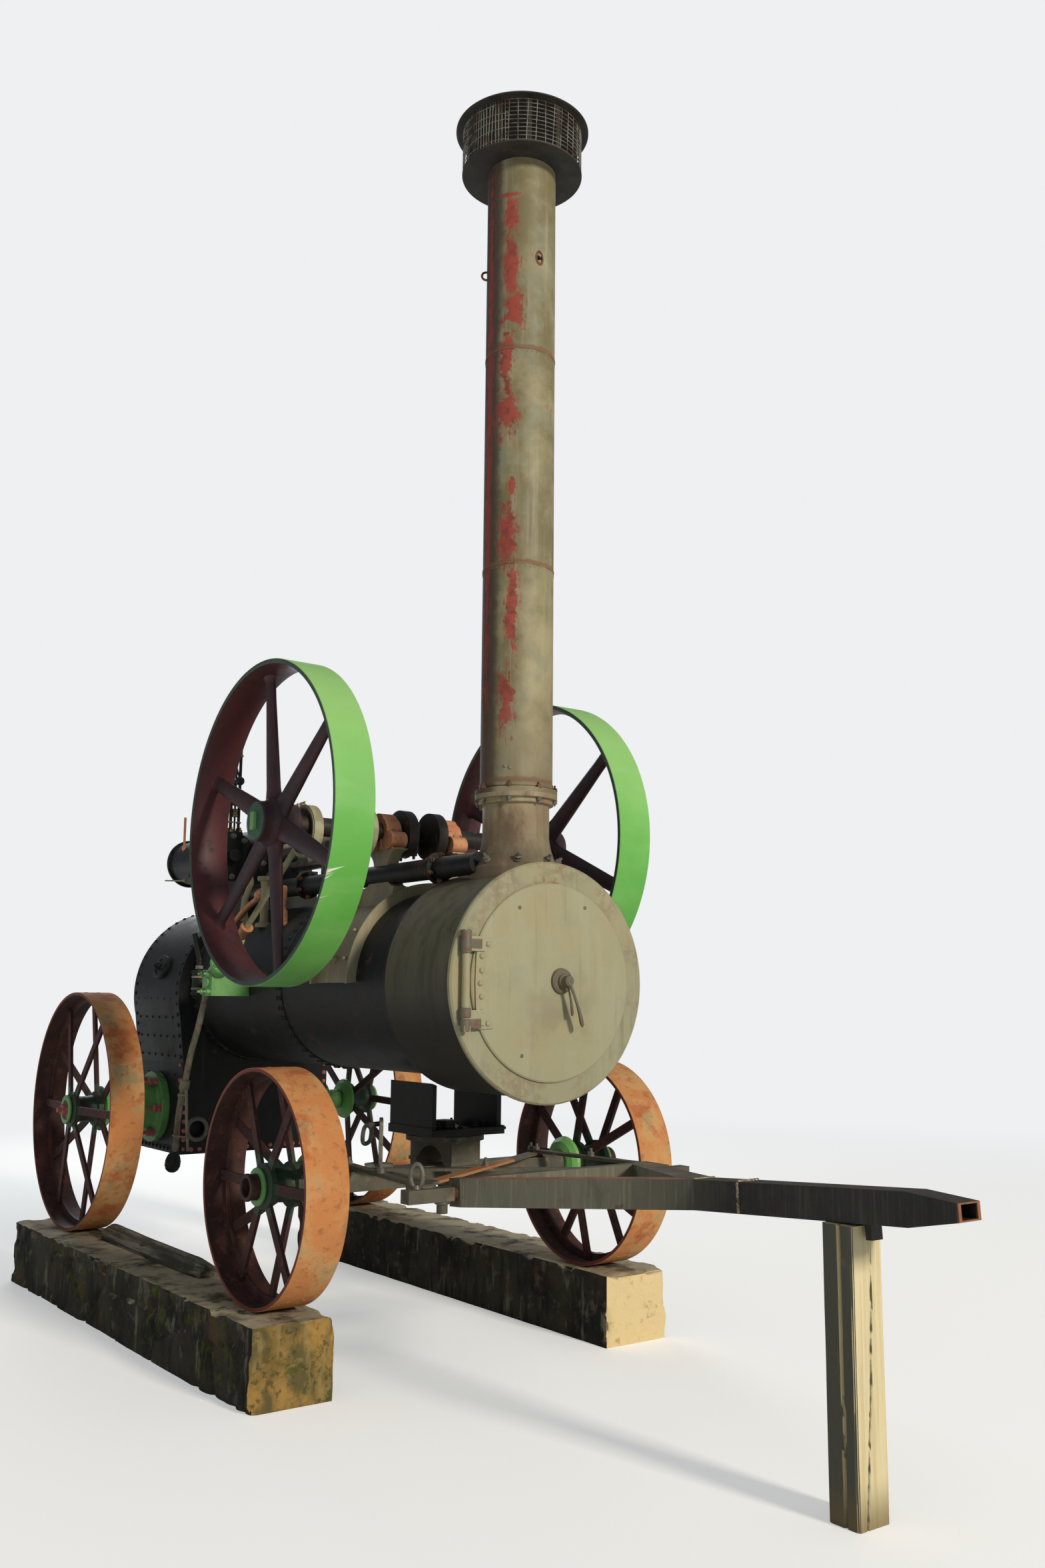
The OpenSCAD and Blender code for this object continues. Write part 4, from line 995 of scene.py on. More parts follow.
# none of the flange's nuts stands over the hinge behind
places = [toward(on_chimney(45 * k - 10, CHIMNEY["foot"] + 0.022, 0.1775)[0], UP, k) for k in range(8)
          if abs((NEAR + 45 * k - 10) % 360 - 90) > 25]
studded("chimney_flange_nuts", "chimney", rusty, "rusty_iron", (nut(0.019, 0.013, 0.010), places))
foot_nuts = []
for k in range(8):
    place, out = on_chimney(45 * k - 42, BOILER_Z + 0.530, 0.186)
    foot_nuts.append(toward(place, out + Vector((0, 0, 1.2)), k))
under = [at(0, 0, -0.046) @ stand @ Matrix.Rotation(math.pi, 4, "X") for stand in places]
studded("chimney_foot_nuts", "engine", iron, "rusty_iron", (nut(0.018, 0.012, 0.006), under),
        (nut(0.027, 0.018, 0.012), foot_nuts))

# an eye on the left for a stay wire, and a torn hole with a rusted rim facing the front
bm = bmesh.new()
hook, out = on_chimney(-86, BOILER_Z + 3.372, r + 0.004)
round_bar(bm, [hook + out * (0.020 * math.sin(t)) + Vector((0, 0, -0.020 * math.cos(t))) for t in
               [math.pi * k / 10 for k in range(-1, 12)]], 0.0055, 8)
hole = toward(*on_chimney(32, BOILER_Z + 3.395, r - 0.001)) @ Matrix.Diagonal((1.0, 1.75, 1, 1))
lathe(bm, [(0.0140, -0.002), (0.0135, 0.002), (0.0160, 0.004), (0.0215, 0.002), (0.0240, -0.002)], hole, 24)
piece("chimney_eye_and_hole_rim", bm, "chimney", rusty)
# the dish behind the hole is near black: soot, and painted shade for the depth of the hole
look = Finish("soot_and_hole_shade", (0.006, 0.005, 0.004), 0.95, shine=0.1)
soot_and_hole_shade = look.patch(40, 0.5, 0.65, (0.020, 0.014, 0.010)).grain(80, 0.001).done()
bm = bmesh.new()
lathe(bm, [(0, 0.0012), (0.014, 0.0004), (0.015, -0.003)], hole, 24)
piece("chimney_hole", bm, "chimney", soot_and_hole_shade)

# Spark arrester
# Two sheet discs hold a drum of square-mesh wire round the chimney's mouth. The mesh was patched
# with a panel turned on its side; the sheets are black with rusted edges.
look = Finish("sooty_sheet", (0.020, 0.018, 0.014), 0.75, shine=0.35)
look.patch(7, 0.46, 0.64, (0.036, 0.031, 0.022))
look.flecks((10, 0.56, 0.66), (40, 0.44, 0.56), (0.060, 0.030, 0.018), 0.9)
painted("spark_cage", look.wear((0.120, 0.075, 0.045), 0.8, radius=0.003).grain(90, 0.0006).done())
look = Finish("dull_wire", (0.205, 0.200, 0.160), 0.55, metal=0.3)
wire = look.patch(14, 0.46, 0.60, (0.100, 0.060, 0.038), 0.8).grain(160, 0.0004).done()
DRUM = {"r": 0.2895, "low": CHIMNEY["top"] + 0.004, "high": CHIMNEY["top"] + 0.228, "wire": 0.0021}
centre = Vector((0, CHIMNEY["y"], 0))
bm = bmesh.new()
chance = random.Random(11)


def hoop(z, start, end, slope=0.0):
    part = bmesh.new()
    ring = bmesh.ops.create_circle(part, segments=4, radius=DRUM["wire"])["verts"]
    bmesh.ops.rotate(part, verts=ring, cent=(0, 0, 0), matrix=Matrix.Rotation(math.pi / 2, 3, "X"))
    bmesh.ops.translate(part, verts=ring, vec=(DRUM["r"], 0, z))
    bmesh.ops.rotate(part, verts=ring, cent=(0, 0, 0), matrix=Matrix.Rotation(start, 3, "Z"))
    steps = max(3, round(abs(end - start) / math.radians(6)))
    bmesh.ops.spin(part, geom=part.verts[:] + part.edges[:], cent=(0, 0, 0), axis=(0, 0, 1),
                   angle=end - start, steps=steps, dvec=(0, 0, slope / steps))
    add_mesh(bm, mesh_of(part), Matrix.Translation(centre))


def upright(a, lean=0.0):
    foot_at = around("Z", a - lean, DRUM["r"]) + Vector((0, 0, DRUM["low"]))
    head_at = around("Z", a + lean, DRUM["r"]) + Vector((0, 0, DRUM["high"]))
    round_bar(bm, [centre + foot_at, centre + head_at], DRUM["wire"], 4, ends=False)


PATCH = (math.radians(NEAR - 66), math.radians(NEAR - 13))
TALL = DRUM["high"] - DRUM["low"]
for k in range(11):
    hoop(DRUM["low"] + 0.006 + (TALL - 0.014) * k / 10, PATCH[1] - 0.06, PATCH[0] + 2 * math.pi,
         chance.uniform(-0.003, 0.003))
for k in range(36):
    a = PATCH[1] + (2 * math.pi - (PATCH[1] - PATCH[0])) * k / 35
    upright(a, chance.uniform(-0.012, 0.012) + 0.01)
for k in range(5):
    hoop(DRUM["low"] + 0.022 + (TALL - 0.03) * k / 4.2, PATCH[0] - 0.03, PATCH[1],
         chance.uniform(-0.016, 0.004))
for k in range(17):
    upright(PATCH[0] + (PATCH[1] - PATCH[0]) * k / 16, chance.uniform(-0.008, 0.02))
piece("spark_mesh", bm, "chimney", wire)

# Cranked saddle and main bearings
# One casting straddles the barrel between two raised flanges and carries both crankshaft bearings.
# It is painted pale olive; the bearings' rounded housings are in orange primer.
pale_olive = olive("saddle_casting_paint", (0.260, 0.225, 0.130), 0.35, eased=0.004).grain(70, 0.0009).done()
painted("crank_saddle", pale_olive)
look = Finish("orange_primer", (0.560, 0.225, 0.100), 0.75, shine=0.35, eased=0.006)
look.patch(14, 0.42, 0.62, (0.620, 0.310, 0.155))
look.patch(26, 0.56, 0.70, (0.330, 0.120, 0.058), 0.85)
look.patch(70, 0.60, 0.70, (0.085, 0.045, 0.030), strength=0.8)
# faces turned down are darkened: painted shade
look.coat(look.way_z.step(-0.2, -0.9), (0.090, 0.045, 0.028), 0.8, 0.7)
orange_paint = look.wear((0.52, 0.33, 0.20), 0.6).grain(85, 0.0012).done()
painted("main_bearings", orange_paint)
CRANK = Vector((0, 0.209, BOILER_Z + 0.732))
places = []
for side in (-1, 1):
    for a in (13, 30):
        out = around("Y", math.radians(90 - side * (90 - a)))
        for y in (0.078, 0.209, 0.342):
            if a < 20 or y != 0.209:
                places.append(toward(out * (BARREL_R + 0.013) + Vector((0, y, BOILER_Z)), out, y * 9))
studded("saddle_nuts", "engine", pale_olive, "olive_paint", (nut(0.036, 0.022, 0.020), places))
places = [toward((side * 0.178 + x, CRANK.y + y, CRANK.z - 0.031), UP, x)
          for side in (-1, 1) for y in (-0.09728, 0.09728) for x in (-0.020, 0.020)]
studded("bearing_nuts", "engine", iron, "bare_steel", (nut(0.024, 0.018, 0.016), places))

# Cylinder, steam chest and valves
# The cylinder stands over the firebox with a round steam chest beside it. Rings of studs hold the
# covers; small pipes, a lever and a feed elbow in old orange paint stand about it.
cylinder_black = black_paint("cylinder_black", 0.6, 0.004)
painted("cylinder_block steam_dome saddle exhaust_pipe governor check_valve", cylinder_black)
CHEST_X = -0.290
ACROSS = (1, 0, 0)
bm = bmesh.new()
for x, r, count, ends in ((0.0, 0.150, 12, ((1.652, -1), (2.238, 1))),
                          (CHEST_X, 0.118, 10, ((1.756, -1), (2.380, 1)))):
    set_out(bm, nut(0.026, 0.018, 0.012), [toward(around("Y", a, r) + Vector((x, y, CRANK.z)), (0, way, 0), a)
                                           for y, way in ends for a in circle(count, 180 / count)])
lathe(bm, [(0, 0.016), (0.060, 0.014), (0.070, 0.008), (0.074, -0.004)],
      toward((CHEST_X, 2.380, CRANK.z), BACK), 36)
lathe(bm, [(0, 0.012), (0.080, 0.010), (0.092, 0.004), (0.094, -0.004)],
      toward((0, 2.252, CRANK.z), BACK), 36)
set_out(bm, nut(0.022, 0.015, 0.010), [toward(around("Z", a, 0.106) + Vector((0, 2.380, 2.166)), UP, a)
                                       for a in circle(8, 20)])
piece("cylinder_studs", bm, "engine", iron)

bm = bmesh.new()
for x in (-0.042, 0.042):
    lathe(bm, [(0, 0.042), (0.010, 0.040), (0.016, 0.030), (0.024, 0.026), (0.026, 0.018), (0.026, 0.0),
               (0.021, -0.004)], at(x, 2.380, 2.484), 28)
round_bar(bm, [(0.0, 2.318, 2.520), (0.0, 2.38, 2.522), (0.0, 2.50, 2.520), (0.0, 2.560, 2.517)],
          [0.008, 0.010, 0.008, 0.006], 10)
for y in (2.330, 2.552):
    lathe(bm, [(0, 0.012), (0.012, 0.011), (0.014, 0.007), (0.014, -0.007), (0.012, -0.011), (0, -0.012)],
          toward((0.0, y, 2.519), ACROSS), 20)
round_bar(bm, [(0.0, 2.552, 2.512), (0.0, 2.552, 2.300), (0.0, 2.552, 2.155)], [0.006, 0.012, 0.009])
GOVERNOR = Vector((-0.250, 1.835, CRANK.z + 0.150))
for z in (0.060, 0.300, 0.460):
    for x in (-0.025, 0.025):
        lathe(bm, [(0.010, -0.006), (0.015, -0.004), (0.015, 0.004), (0.010, 0.006)],
              Matrix.Translation(GOVERNOR + Vector((x, 0, z))), 20)
lathe(bm, [(0.005, 0.0), (0.016, 0.002), (0.019, 0.012), (0.014, 0.022), (0.014, 0.030), (0.019, 0.040),
           (0.016, 0.050), (0.005, 0.052)], Matrix.Translation(GOVERNOR + Vector((0, 0, 0.090))), 24)
set_out(bm, nut(0.020, 0.014, 0.010), [toward(GOVERNOR + around("Z", a, 0.038), UP, a)
                                       for a in (0.8, 2.4, 3.9, 5.5)])
piece("valve_levers_and_collars", bm, "engine", brass)

bm = bmesh.new()
round_bar(bm, [(-0.400, 2.205, 2.470), (-0.400, 2.208, 2.58), (-0.400, 2.210, 2.686)], 0.0075)
lathe(bm, [(0.0075, 0.0), (0.014, 0.002), (0.014, 0.020), (0.009, 0.026)], at(-0.400, 2.205, 2.484), 20)
lathe(bm, [(0, -0.052), (0.020, -0.050), (0.024, -0.042), (0.024, -0.024), (0.031, -0.022), (0.033, -0.016),
           (0.033, 0.012), (0.030, 0.018), (0.023, 0.020), (0.023, 0.045), (0, 0.048)],
      toward((-0.300, 1.345, 2.172), (0.1, 0.9, -0.42)), 28)
round_bar(bm, [(-0.30, 1.392, 2.150), (-0.31, 1.46, 2.120), (-0.32, 1.53, 2.080), (-0.325, 1.60, 2.035),
               (-0.325, 1.64, 1.995)], 0.017, 16)
lathe(bm, [(0, 0.205), (0.013, 0.202), (0.018, 0.192), (0.018, 0.130), (0.015, 0.120), (0.015, 0.074),
           (0.022, 0.070), (0.024, 0.058), (0.024, 0.010), (0.030, 0.006), (0.032, -0.012)],
      at(-0.300, 1.058, 2.006), 28)
round_bar(bm, [(-0.300, 1.058, 2.165), (-0.345, 1.048, 2.168), (-0.362, 1.044, 2.168)],
          [0.006, 0.006, 0.010], 10)
piece("orange_cocks_and_pipes", bm, "engine", orange_paint)

bm = bmesh.new()
run = curve_through([(-0.300, 1.545, 2.318), (-0.302, 1.500, 2.290), (-0.306, 1.462, 2.246),
                     (-0.304, 1.492, 2.205), (-0.300, 1.536, 2.160), (-0.296, 1.556, 2.090),
                     (-0.296, 1.560, 2.040)], 6)
thin = [0.030 - 0.012 * math.sin(math.pi * k / (len(run) - 1)) for k in range(len(run))]
round_bar(bm, run, thin, 16, flat=0.45)
lathe(bm, [(0, 0.018), (0.022, 0.017), (0.026, 0.012), (0.026, -0.012), (0.022, -0.017), (0, -0.018)],
      toward((-0.302, 1.536, 2.312), (1, 0.1, 0)), 24)
lathe(bm, [(0.046, -0.012), (0.048, 0.006), (0.044, 0.012), (0.026, 0.016), (0.022, 0.030), (0.022, 0.230),
           (0.026, 0.240), (0.040, 0.244), (0.043, 0.250), (0.043, 0.262), (0.040, 0.268), (0, 0.270)],
      at(-0.300, 1.290, 2.004))
round_bar(bm, [(-0.420, 2.127, 2.297), (-0.424, 2.26, 2.305), (-0.428, 2.406, 2.315)], 0.0045, 8)
lathe(bm, [(0, 0.013), (0.009, 0.009), (0.013, 0.0), (0.009, -0.009), (0, -0.013)],
      toward((-0.420, 2.122, 2.297), BACK), 16)
round_bar(bm, [(-0.418, 2.16, 2.300), (-0.398, 2.16, 2.318), (-0.372, 2.16, 2.330)], 0.006, 8)
piece("lever_bracket_and_pillar", bm, "engine", pale_olive)

# collar bolts of the exhaust pipe at its two joints
places = [toward(around("Y", a, 0.061) + Vector((-0.185, y, BOILER_Z + 0.522)), (0, way, 0), a)
          for y, way in ((-0.290, -1), (-0.266, 1), (1.0, -1), (1.024, 1)) for a in circle(6, 25)]
studded("exhaust_flange_bolts", "engine", rusty, "rusty_iron", (nut(0.019, 0.013, 0.008), places))

# Slide bars, crosshead and rods
# The motion work is forged and planed steel, now dull with oil, dust and light rust. The eccentric
# straps are castings in pale olive paint, bolted together in halves.
look = Finish("oily_steel", (0.105, 0.100, 0.085), 0.42, metal=0.45, eased=0.003)
look.patch(12, 0.42, 0.62, (0.055, 0.050, 0.042), 0.6)
look.patch(32, 0.54, 0.66, (0.170, 0.080, 0.042), 0.8, 0.7)
oily_steel = look.wear((0.30, 0.28, 0.24), 0.35).grain(120, 0.0004).done()
painted("slide_bars crosshead connecting_rod", oily_steel)
look = Finish("black_crank_iron", (0.022, 0.020, 0.017), 0.45, metal=0.2, eased=0.004)
look.patch(9, 0.42, 0.62, (0.040, 0.030, 0.022), 0.6)
look.patch(28, 0.56, 0.68, (0.120, 0.055, 0.030), 0.85, 0.8)
painted("crankshaft", look.wear((0.16, 0.13, 0.10), 0.4).grain(100, 0.0007).done())
look = Finish("strap_casting", (0.420, 0.395, 0.240), 0.6, metal=0.05, eased=0.004)
look.patch(14, 0.44, 0.62, (0.300, 0.270, 0.160), 0.65)
look.patch(30, 0.58, 0.70, (0.225, 0.125, 0.070), 0.8, 0.8)
strap = look.wear((0.52, 0.46, 0.31), 0.4).grain(90, 0.0008).done()
painted("valve_rod pump_rod", strap)


def strap_dressing(name, body, centre, slope):
    """Bolts through the lugs of an eccentric strap, its raised ribs and its oil cup."""
    bm = bmesh.new()
    stand = Matrix.Translation(centre) @ Matrix.Rotation(slope, 4, "X")
    for x in (-0.024, 0.024):
        lathe(bm, [(0.1065, -0.003), (0.1065, 0.0035), (0.113, 0.0045), (0.119, 0.0035), (0.1195, -0.003)],
              stand @ at(x, 0, 0) @ Matrix.Rotation(math.copysign(math.pi / 2, x), 4, "Y"), 56)
    set_out(bm, nut(0.022, 0.014, 0.010), [stand @ toward((0, y, z), (0, y, 0)) for z in (-0.138, 0.138)
                                           for y in (-0.030, 0.030)])
    lathe(bm, [(0, 0.034), (0.010, 0.032), (0.014, 0.024), (0.014, 0.004), (0.008, -0.006)],
          stand @ at(0, -0.030, 0.120), 20)
    piece(name, bm, body, strap)
    return stand


PUMP_SLOPE = math.radians(-35)
strap_dressing("valve_strap_bolts", "valve_rod", Vector((-0.300, CRANK.y + 0.035, CRANK.z)), 0.0)
pump_stand = strap_dressing("pump_strap_bolts", "pump_rod",
                            Vector((-0.600, CRANK.y, CRANK.z)) + around("X", PUMP_SLOPE, 0.040), PUMP_SLOPE)
bm = bmesh.new()
lathe(bm, [(0.0155, -0.052), (0.022, -0.050), (0.024, -0.030), (0.028, -0.024), (0.031, 0.020),
           (0.034, 0.026), (0.034, 0.040), (0.030, 0.044), (0.0155, 0.040)],
      pump_stand @ toward((0, 0.790, 0), BACK) @ Matrix.Rotation(math.pi, 4, "X"), 28)
piece("pump_rod_socket", bm, "pump_rod", orange_paint)
bm = bmesh.new()
BIG_END_Y = CRANK.y + 0.127
set_out(bm, nut(0.030, 0.018, 0.012), [toward((x, BIG_END_Y + y, CRANK.z + z), (0, 0, z))
                                       for x in (-0.0252, 0.0252) for z in (-0.076, 0.076)
                                       for y in (-0.058, 0.066)])
plate(bm, oblong(0.012, 0.088), 0.006, toward((0.0, BIG_END_Y + 0.092, CRANK.z), BACK))
lathe(bm, [(0, 0.050), (0.012, 0.048), (0.015, 0.040), (0.022, 0.036), (0.022, 0.012), (0.012, 0.004),
           (0.010, -0.006)], at(0, CRANK.y + 0.120, CRANK.z + 0.076), 24)
piece("big_end_bolts", bm, "connecting_rod", oily_steel)

# Flywheels
# Both flywheels are one-piece castings with six tapering oval arms. The belt faces are bright green
# and scuffed where belts ran; arms and insides are maroon; a green cap and gib key close each hub.
FLY = {"r": 0.760, "half": 0.098, "x": 0.786, "start": -8}


def arm(bm, sections, steps=24):
    """A tapering oval arm along Z, its sections given as (height, half thickness, half width)."""
    last = None
    for height, thick, wide in sections:
        oval = at(0, 0, height) @ Matrix.Diagonal((thick, wide, 1, 1))
        edges = rim_edges(bmesh.ops.create_circle(bm, segments=steps, radius=1.0, matrix=oval)["verts"])
        if last:
            bmesh.ops.bridge_loops(bm, edges=last + edges)
        last = edges


round_axis("round an axle", (0, 1, 1), "YZX", True)
look = Finish("flywheel_paint", (0.070, 0.016, 0.018), 0.50, shine=0.45)
from_hub = look.made("round an axle", "Radius", Centre=CRANK)
turned = look.made("round an axle", "Angle", Centre=CRANK)
aside = look.made("round an axle", "Along", Centre=CRANK)
look.coat(from_hub.step(0.715, 0.660), (0.034, 0.015, 0.018), 0.55)
look.patch(4, 0.42, 0.64, (0.105, 0.020, 0.019), strength=0.5)
look.patch(12, 0.54, 0.68, (0.028, 0.013, 0.014), 0.65, 0.7)
look.flecks((46, 0.60, 0.66), (5, 0.50, 0.60), (0.012, 0.010, 0.010), 0.7)
face = from_hub.step(0.7390, 0.7396)
look.coat(face, (0.024, 0.060, 0.030), 0.4)
look.patch(30, 0.50, 0.62, (0.060, 0.120, 0.055), 0.5, 0.6, face)
belt = from_hub.step(0.7572, 0.7592)
look.coat(belt, (0.125, 0.440, 0.070), 0.46)
look.patch(3, 0.40, 0.66, (0.170, 0.490, 0.100), 0.50, on=belt)
look.patch(7, 0.48, 0.70, (0.235, 0.520, 0.150), 0.5, 0.4, belt, (0.15, 1, 1))
# the belt face is paler where it turns up: a painted sheen
look.coat(belt * look.way_z.step(-0.20, 0.80), (0.390, 0.660, 0.230), 0.55, 0.66)
# bare scuffs on the left wheel, each a wedge that runs in from the rim's outer edge
SCUFFS = ((-158.0, 0.75, 0.090, 2.4), (-156.9, 0.30, 0.050, 1.4), (-155.6, 0.42, 0.042, 2.2),
          (-148.9, 0.22, 0.062, 1.6), (-147.4, 0.12, 0.050, 1.2))
left_belt = belt * look.x.step(0.0, -0.1)
for a, wide, reach, rise in SCUFFS:
    taper = (aside - (FLY["x"] + FLY["half"] - reach)) / reach
    drift = (taper - 1.0) * math.radians(-rise) + turned
    inside = taper * math.radians(wide) - (drift - math.radians(a)).math("ABSOLUTE")
    look.patch(50, 0.36, 0.48, (0.74, 0.76, 0.62), 0.6, 1.0, left_belt * inside.step(0.0, 0.003),
               (0.15, 1, 1))
look.coat(look.edges(0.003, 0.01, 0.10) * from_hub.step(0.736, 0.738), (0.42, 0.40, 0.27), 0.5)
fly_paint = look.grain(60, 0.00016).dent(6, 0.3, 0.7, 0.0002).done()

CROSS = Matrix.Rotation(math.pi / 2, 4, "Y")
fly_arm = pattern(lambda bm: arm(bm, [
    (0.088, 0.034, 0.072), (0.118, 0.030, 0.060), (0.165, 0.0265, 0.053), (0.300, 0.0245, 0.049),
    (0.450, 0.0215, 0.044), (0.600, 0.0190, 0.0385), (0.680, 0.0192, 0.0385), (0.704, 0.0215, 0.041),
    (0.716, 0.0265, 0.047), (0.728, 0.0350, 0.057)]))
for side, name in SIDES:
    bm = bmesh.new()
    hub = at(side * FLY["x"], CRANK.y, CRANK.z)
    half, r = FLY["half"], FLY["r"]
    curl = [(0.7380 - 0.0170 * math.cos(math.pi / 2 * t) ** 0.8, half * 0.97 * t)
            for t in [k / 8 for k in range(8, -9, -1)]]
    outer = [(r - 0.0025, -half), (r, -half + 0.0025), (r, half - 0.0025), (r - 0.0025, half)]
    lathe(bm, outer + [(0.7400, half), (0.7385, half - 0.001)] + curl
          + [(0.7385, -half + 0.001), (0.7400, -half)] + outer[:1], hub @ CROSS, 160)
    lathe(bm, [(0.046, -half), (0.088, -half), (0.094, -half + 0.005), (0.096, -0.058), (0.106, -0.040),
               (0.119, -0.026), (0.122, 0.0), (0.119, 0.026), (0.106, 0.040), (0.096, 0.058),
               (0.094, half - 0.005), (0.088, half), (0.046, half), (0.046, -half)], hub @ CROSS, 64)
    set_out(bm, fly_arm, [hub @ Matrix.Rotation(a, 4, "X") for a in circle(6, FLY["start"])])
    piece("flywheel_" + name + "_casting", bm, "crankshaft", fly_paint,
          ["flywheel_" + name], 40)

look = Finish("hub_cap_green", (0.020, 0.075, 0.038), 0.42)
look.patch(16, 0.44, 0.62, (0.030, 0.105, 0.052), 0.5)
look.patch(50, 0.58, 0.66, (0.080, 0.055, 0.035), 0.75)
cap_green = look.wear((0.30, 0.36, 0.20), 0.5, radius=0.003).grain(110, 0.0006).done()
caps, keys = bmesh.new(), bmesh.new()
for side, name in SIDES:
    lathe(caps, [(0, 0.0050), (0.080, 0.0045), (0.0865, 0.0030), (0.0885, -0.001), (0.0885, -0.004)],
          toward((side * 0.884, CRANK.y, CRANK.z), (side, 0, 0)), 56)
    plate(keys, oblong(0.0185, 0.042), 0.021, at(side * 0.8835, CRANK.y, CRANK.z)
          @ Matrix.Rotation(side * math.pi / 2, 4, "Y") @ Matrix.Rotation(math.pi / 2, 4, "Z"), 0.003)
piece("hub_caps", caps, "crankshaft", cap_green)
piece("gib_keys", keys, "crankshaft", green_paint)

# Road wheels
# Each wheel is a broad rolled tyre on a T ring, with twelve flat spokes set into the hub in two
# rows. The tyres have rusted orange-brown outside, and the rest is old maroon and green paint.


def wheel_paint(name, centre, radius, bell_to):
    made = Finish(name, (0.048, 0.019, 0.016), 0.7, shine=0.4)
    made.patch(7, 0.42, 0.62, (0.080, 0.027, 0.020))
    made.patch(24, 0.54, 0.68, (0.150, 0.062, 0.034), 0.85, 0.7)
    made.patch(60, 0.60, 0.70, (0.030, 0.018, 0.015), strength=0.7)
    from_hub = made.made("round an axle", "Radius", Centre=centre)
    hub = from_hub.step(0.150, 0.128)
    made.coat(hub, (0.026, 0.066, 0.034), 0.5)
    made.patch(20, 0.48, 0.64, (0.070, 0.034, 0.024), 0.75, 0.8, hub)
    bell = hub * made.made("round an axle", "Along", Centre=centre).step(bell_to, bell_to - 0.010)
    made.coat(bell, (0.190, 0.480, 0.125), 0.38)
    made.patch(14, 0.54, 0.68, (0.290, 0.380, 0.190), 0.5, 0.7, bell)
    made.coat(from_hub.within(radius - 0.0140, radius - 0.0035, 0.0008), (0.230, 0.050, 0.028), 0.7)
    tread = from_hub.step(radius - 0.0030, radius - 0.0012)
    made.coat(tread, (0.560, 0.225, 0.072), 0.85)
    for scale, low, high, colour, strength in (
            (4, 0.42, 0.60, (0.600, 0.330, 0.130), 0.9), (6, 0.50, 0.64, (0.430, 0.115, 0.034), 0.9),
            (8, 0.55, 0.66, (0.330, 0.290, 0.150), 0.75), (26, 0.54, 0.68, (0.290, 0.100, 0.038), 0.55),
            (70, 0.61, 0.68, (0.600, 0.360, 0.170), 0.45)):
        made.patch(scale, low, high, colour, None, strength, tread)
    made.wear((0.330, 0.150, 0.085), 0.7, 0.6, 0.003, 0.12)
    return made.grain(70, 0.0011).dent(16, 0.4, 0.6, 0.0009).done()


WHEELS = {
    "front": {"centre": Vector((0, -0.091, 0.8213)), "r": 0.495, "rim": 0.8795, "end": 0.952, "bell": 0.735},
    "rear": {"centre": AXLE, "r": 0.654, "rim": 0.879, "end": 0.992, "bell": 0.806}}
look = Finish("cup_maroon", (0.045, 0.018, 0.015), 0.6, shine=0.4)
look.patch(24, 0.48, 0.64, (0.090, 0.042, 0.028), 0.8)
cup_maroon = look.wear((0.20, 0.13, 0.09), radius=0.003).grain(100, 0.0006).done()
spoke_rivet, tread_rivet = rivet(0.0105, 0.6), rivet(0.0115, 0.12)
for which, wheel in WHEELS.items():
    paint = wheel_paint(which + "_wheel_paint", wheel["centre"], wheel["r"], wheel["bell"])
    for side, hand in SIDES:
        body = which + "_wheel_" + hand
        painted(body, paint)
        feet, tread = [], []
        for k in range(12):
            turn = math.radians(30 * k)
            out = Vector((0, -math.sin(turn), math.cos(turn)))
            cross = Vector((0, math.cos(turn), math.sin(turn)))
            flat = -1 if k % 2 == 0 else 1
            foot = wheel["centre"] + out * (wheel["r"] - 0.037)
            foot.x += side * (wheel["rim"] + flat * 0.022)
            feet += [toward(foot + cross * aside, (side * flat, 0, 0)) for aside in (-0.012, 0.012)]
            head = wheel["centre"] + out * (wheel["r"] + 0.0002) + Vector((side * wheel["rim"], 0, 0))
            tread += [toward(head + Vector((x, 0, 0)), out) for x in (-0.035, 0.035)]
        studded(body + "_rivets", body, paint, "rusty_iron", (spoke_rivet, feet), (tread_rivet, tread))
# the rear axles end in pink-red nuts
places = [toward(AXLE + Vector((side * 0.986, 0, 0)), (side, 0, 0), 0.3) for side in (-1, 1)]
studded("axle_nuts", "engine", red_primer, "orange_primer", (nut(0.058, 0.030, 0.016), places))
# a bright green ring on the hub's end, and an open cup over the front axle's
for which, wheel in WHEELS.items():
    for side, hand in SIDES:
        body = which + "_wheel_" + hand
        end = toward(wheel["centre"] + Vector((side * wheel["end"], 0, 0)), (side, 0, 0))
        bm = bmesh.new()
        lathe(bm, [(0.060, -0.016), (0.0655, -0.012), (0.0780, -0.009), (0.0800, -0.004), (0.0785, 0.002),
                   (0.0700, 0.005), (0.0560, 0.005), (0.0520, 0.001), (0.0520, -0.010)], end, 48)
        piece(body + "_hub_ring", bm, body, green_paint)
        if which == "front":
            bm = bmesh.new()
            lathe(bm, [(0.0500, 0.000), (0.0540, 0.004), (0.0540, 0.034), (0.0575, 0.038), (0.0575, 0.048),
                       (0.0545, 0.052), (0.0430, 0.052), (0.0400, 0.048), (0.0400, 0.010), (0, 0.008)],
                  end, 48)
            piece(body + "_cup", bm, body, cup_maroon)

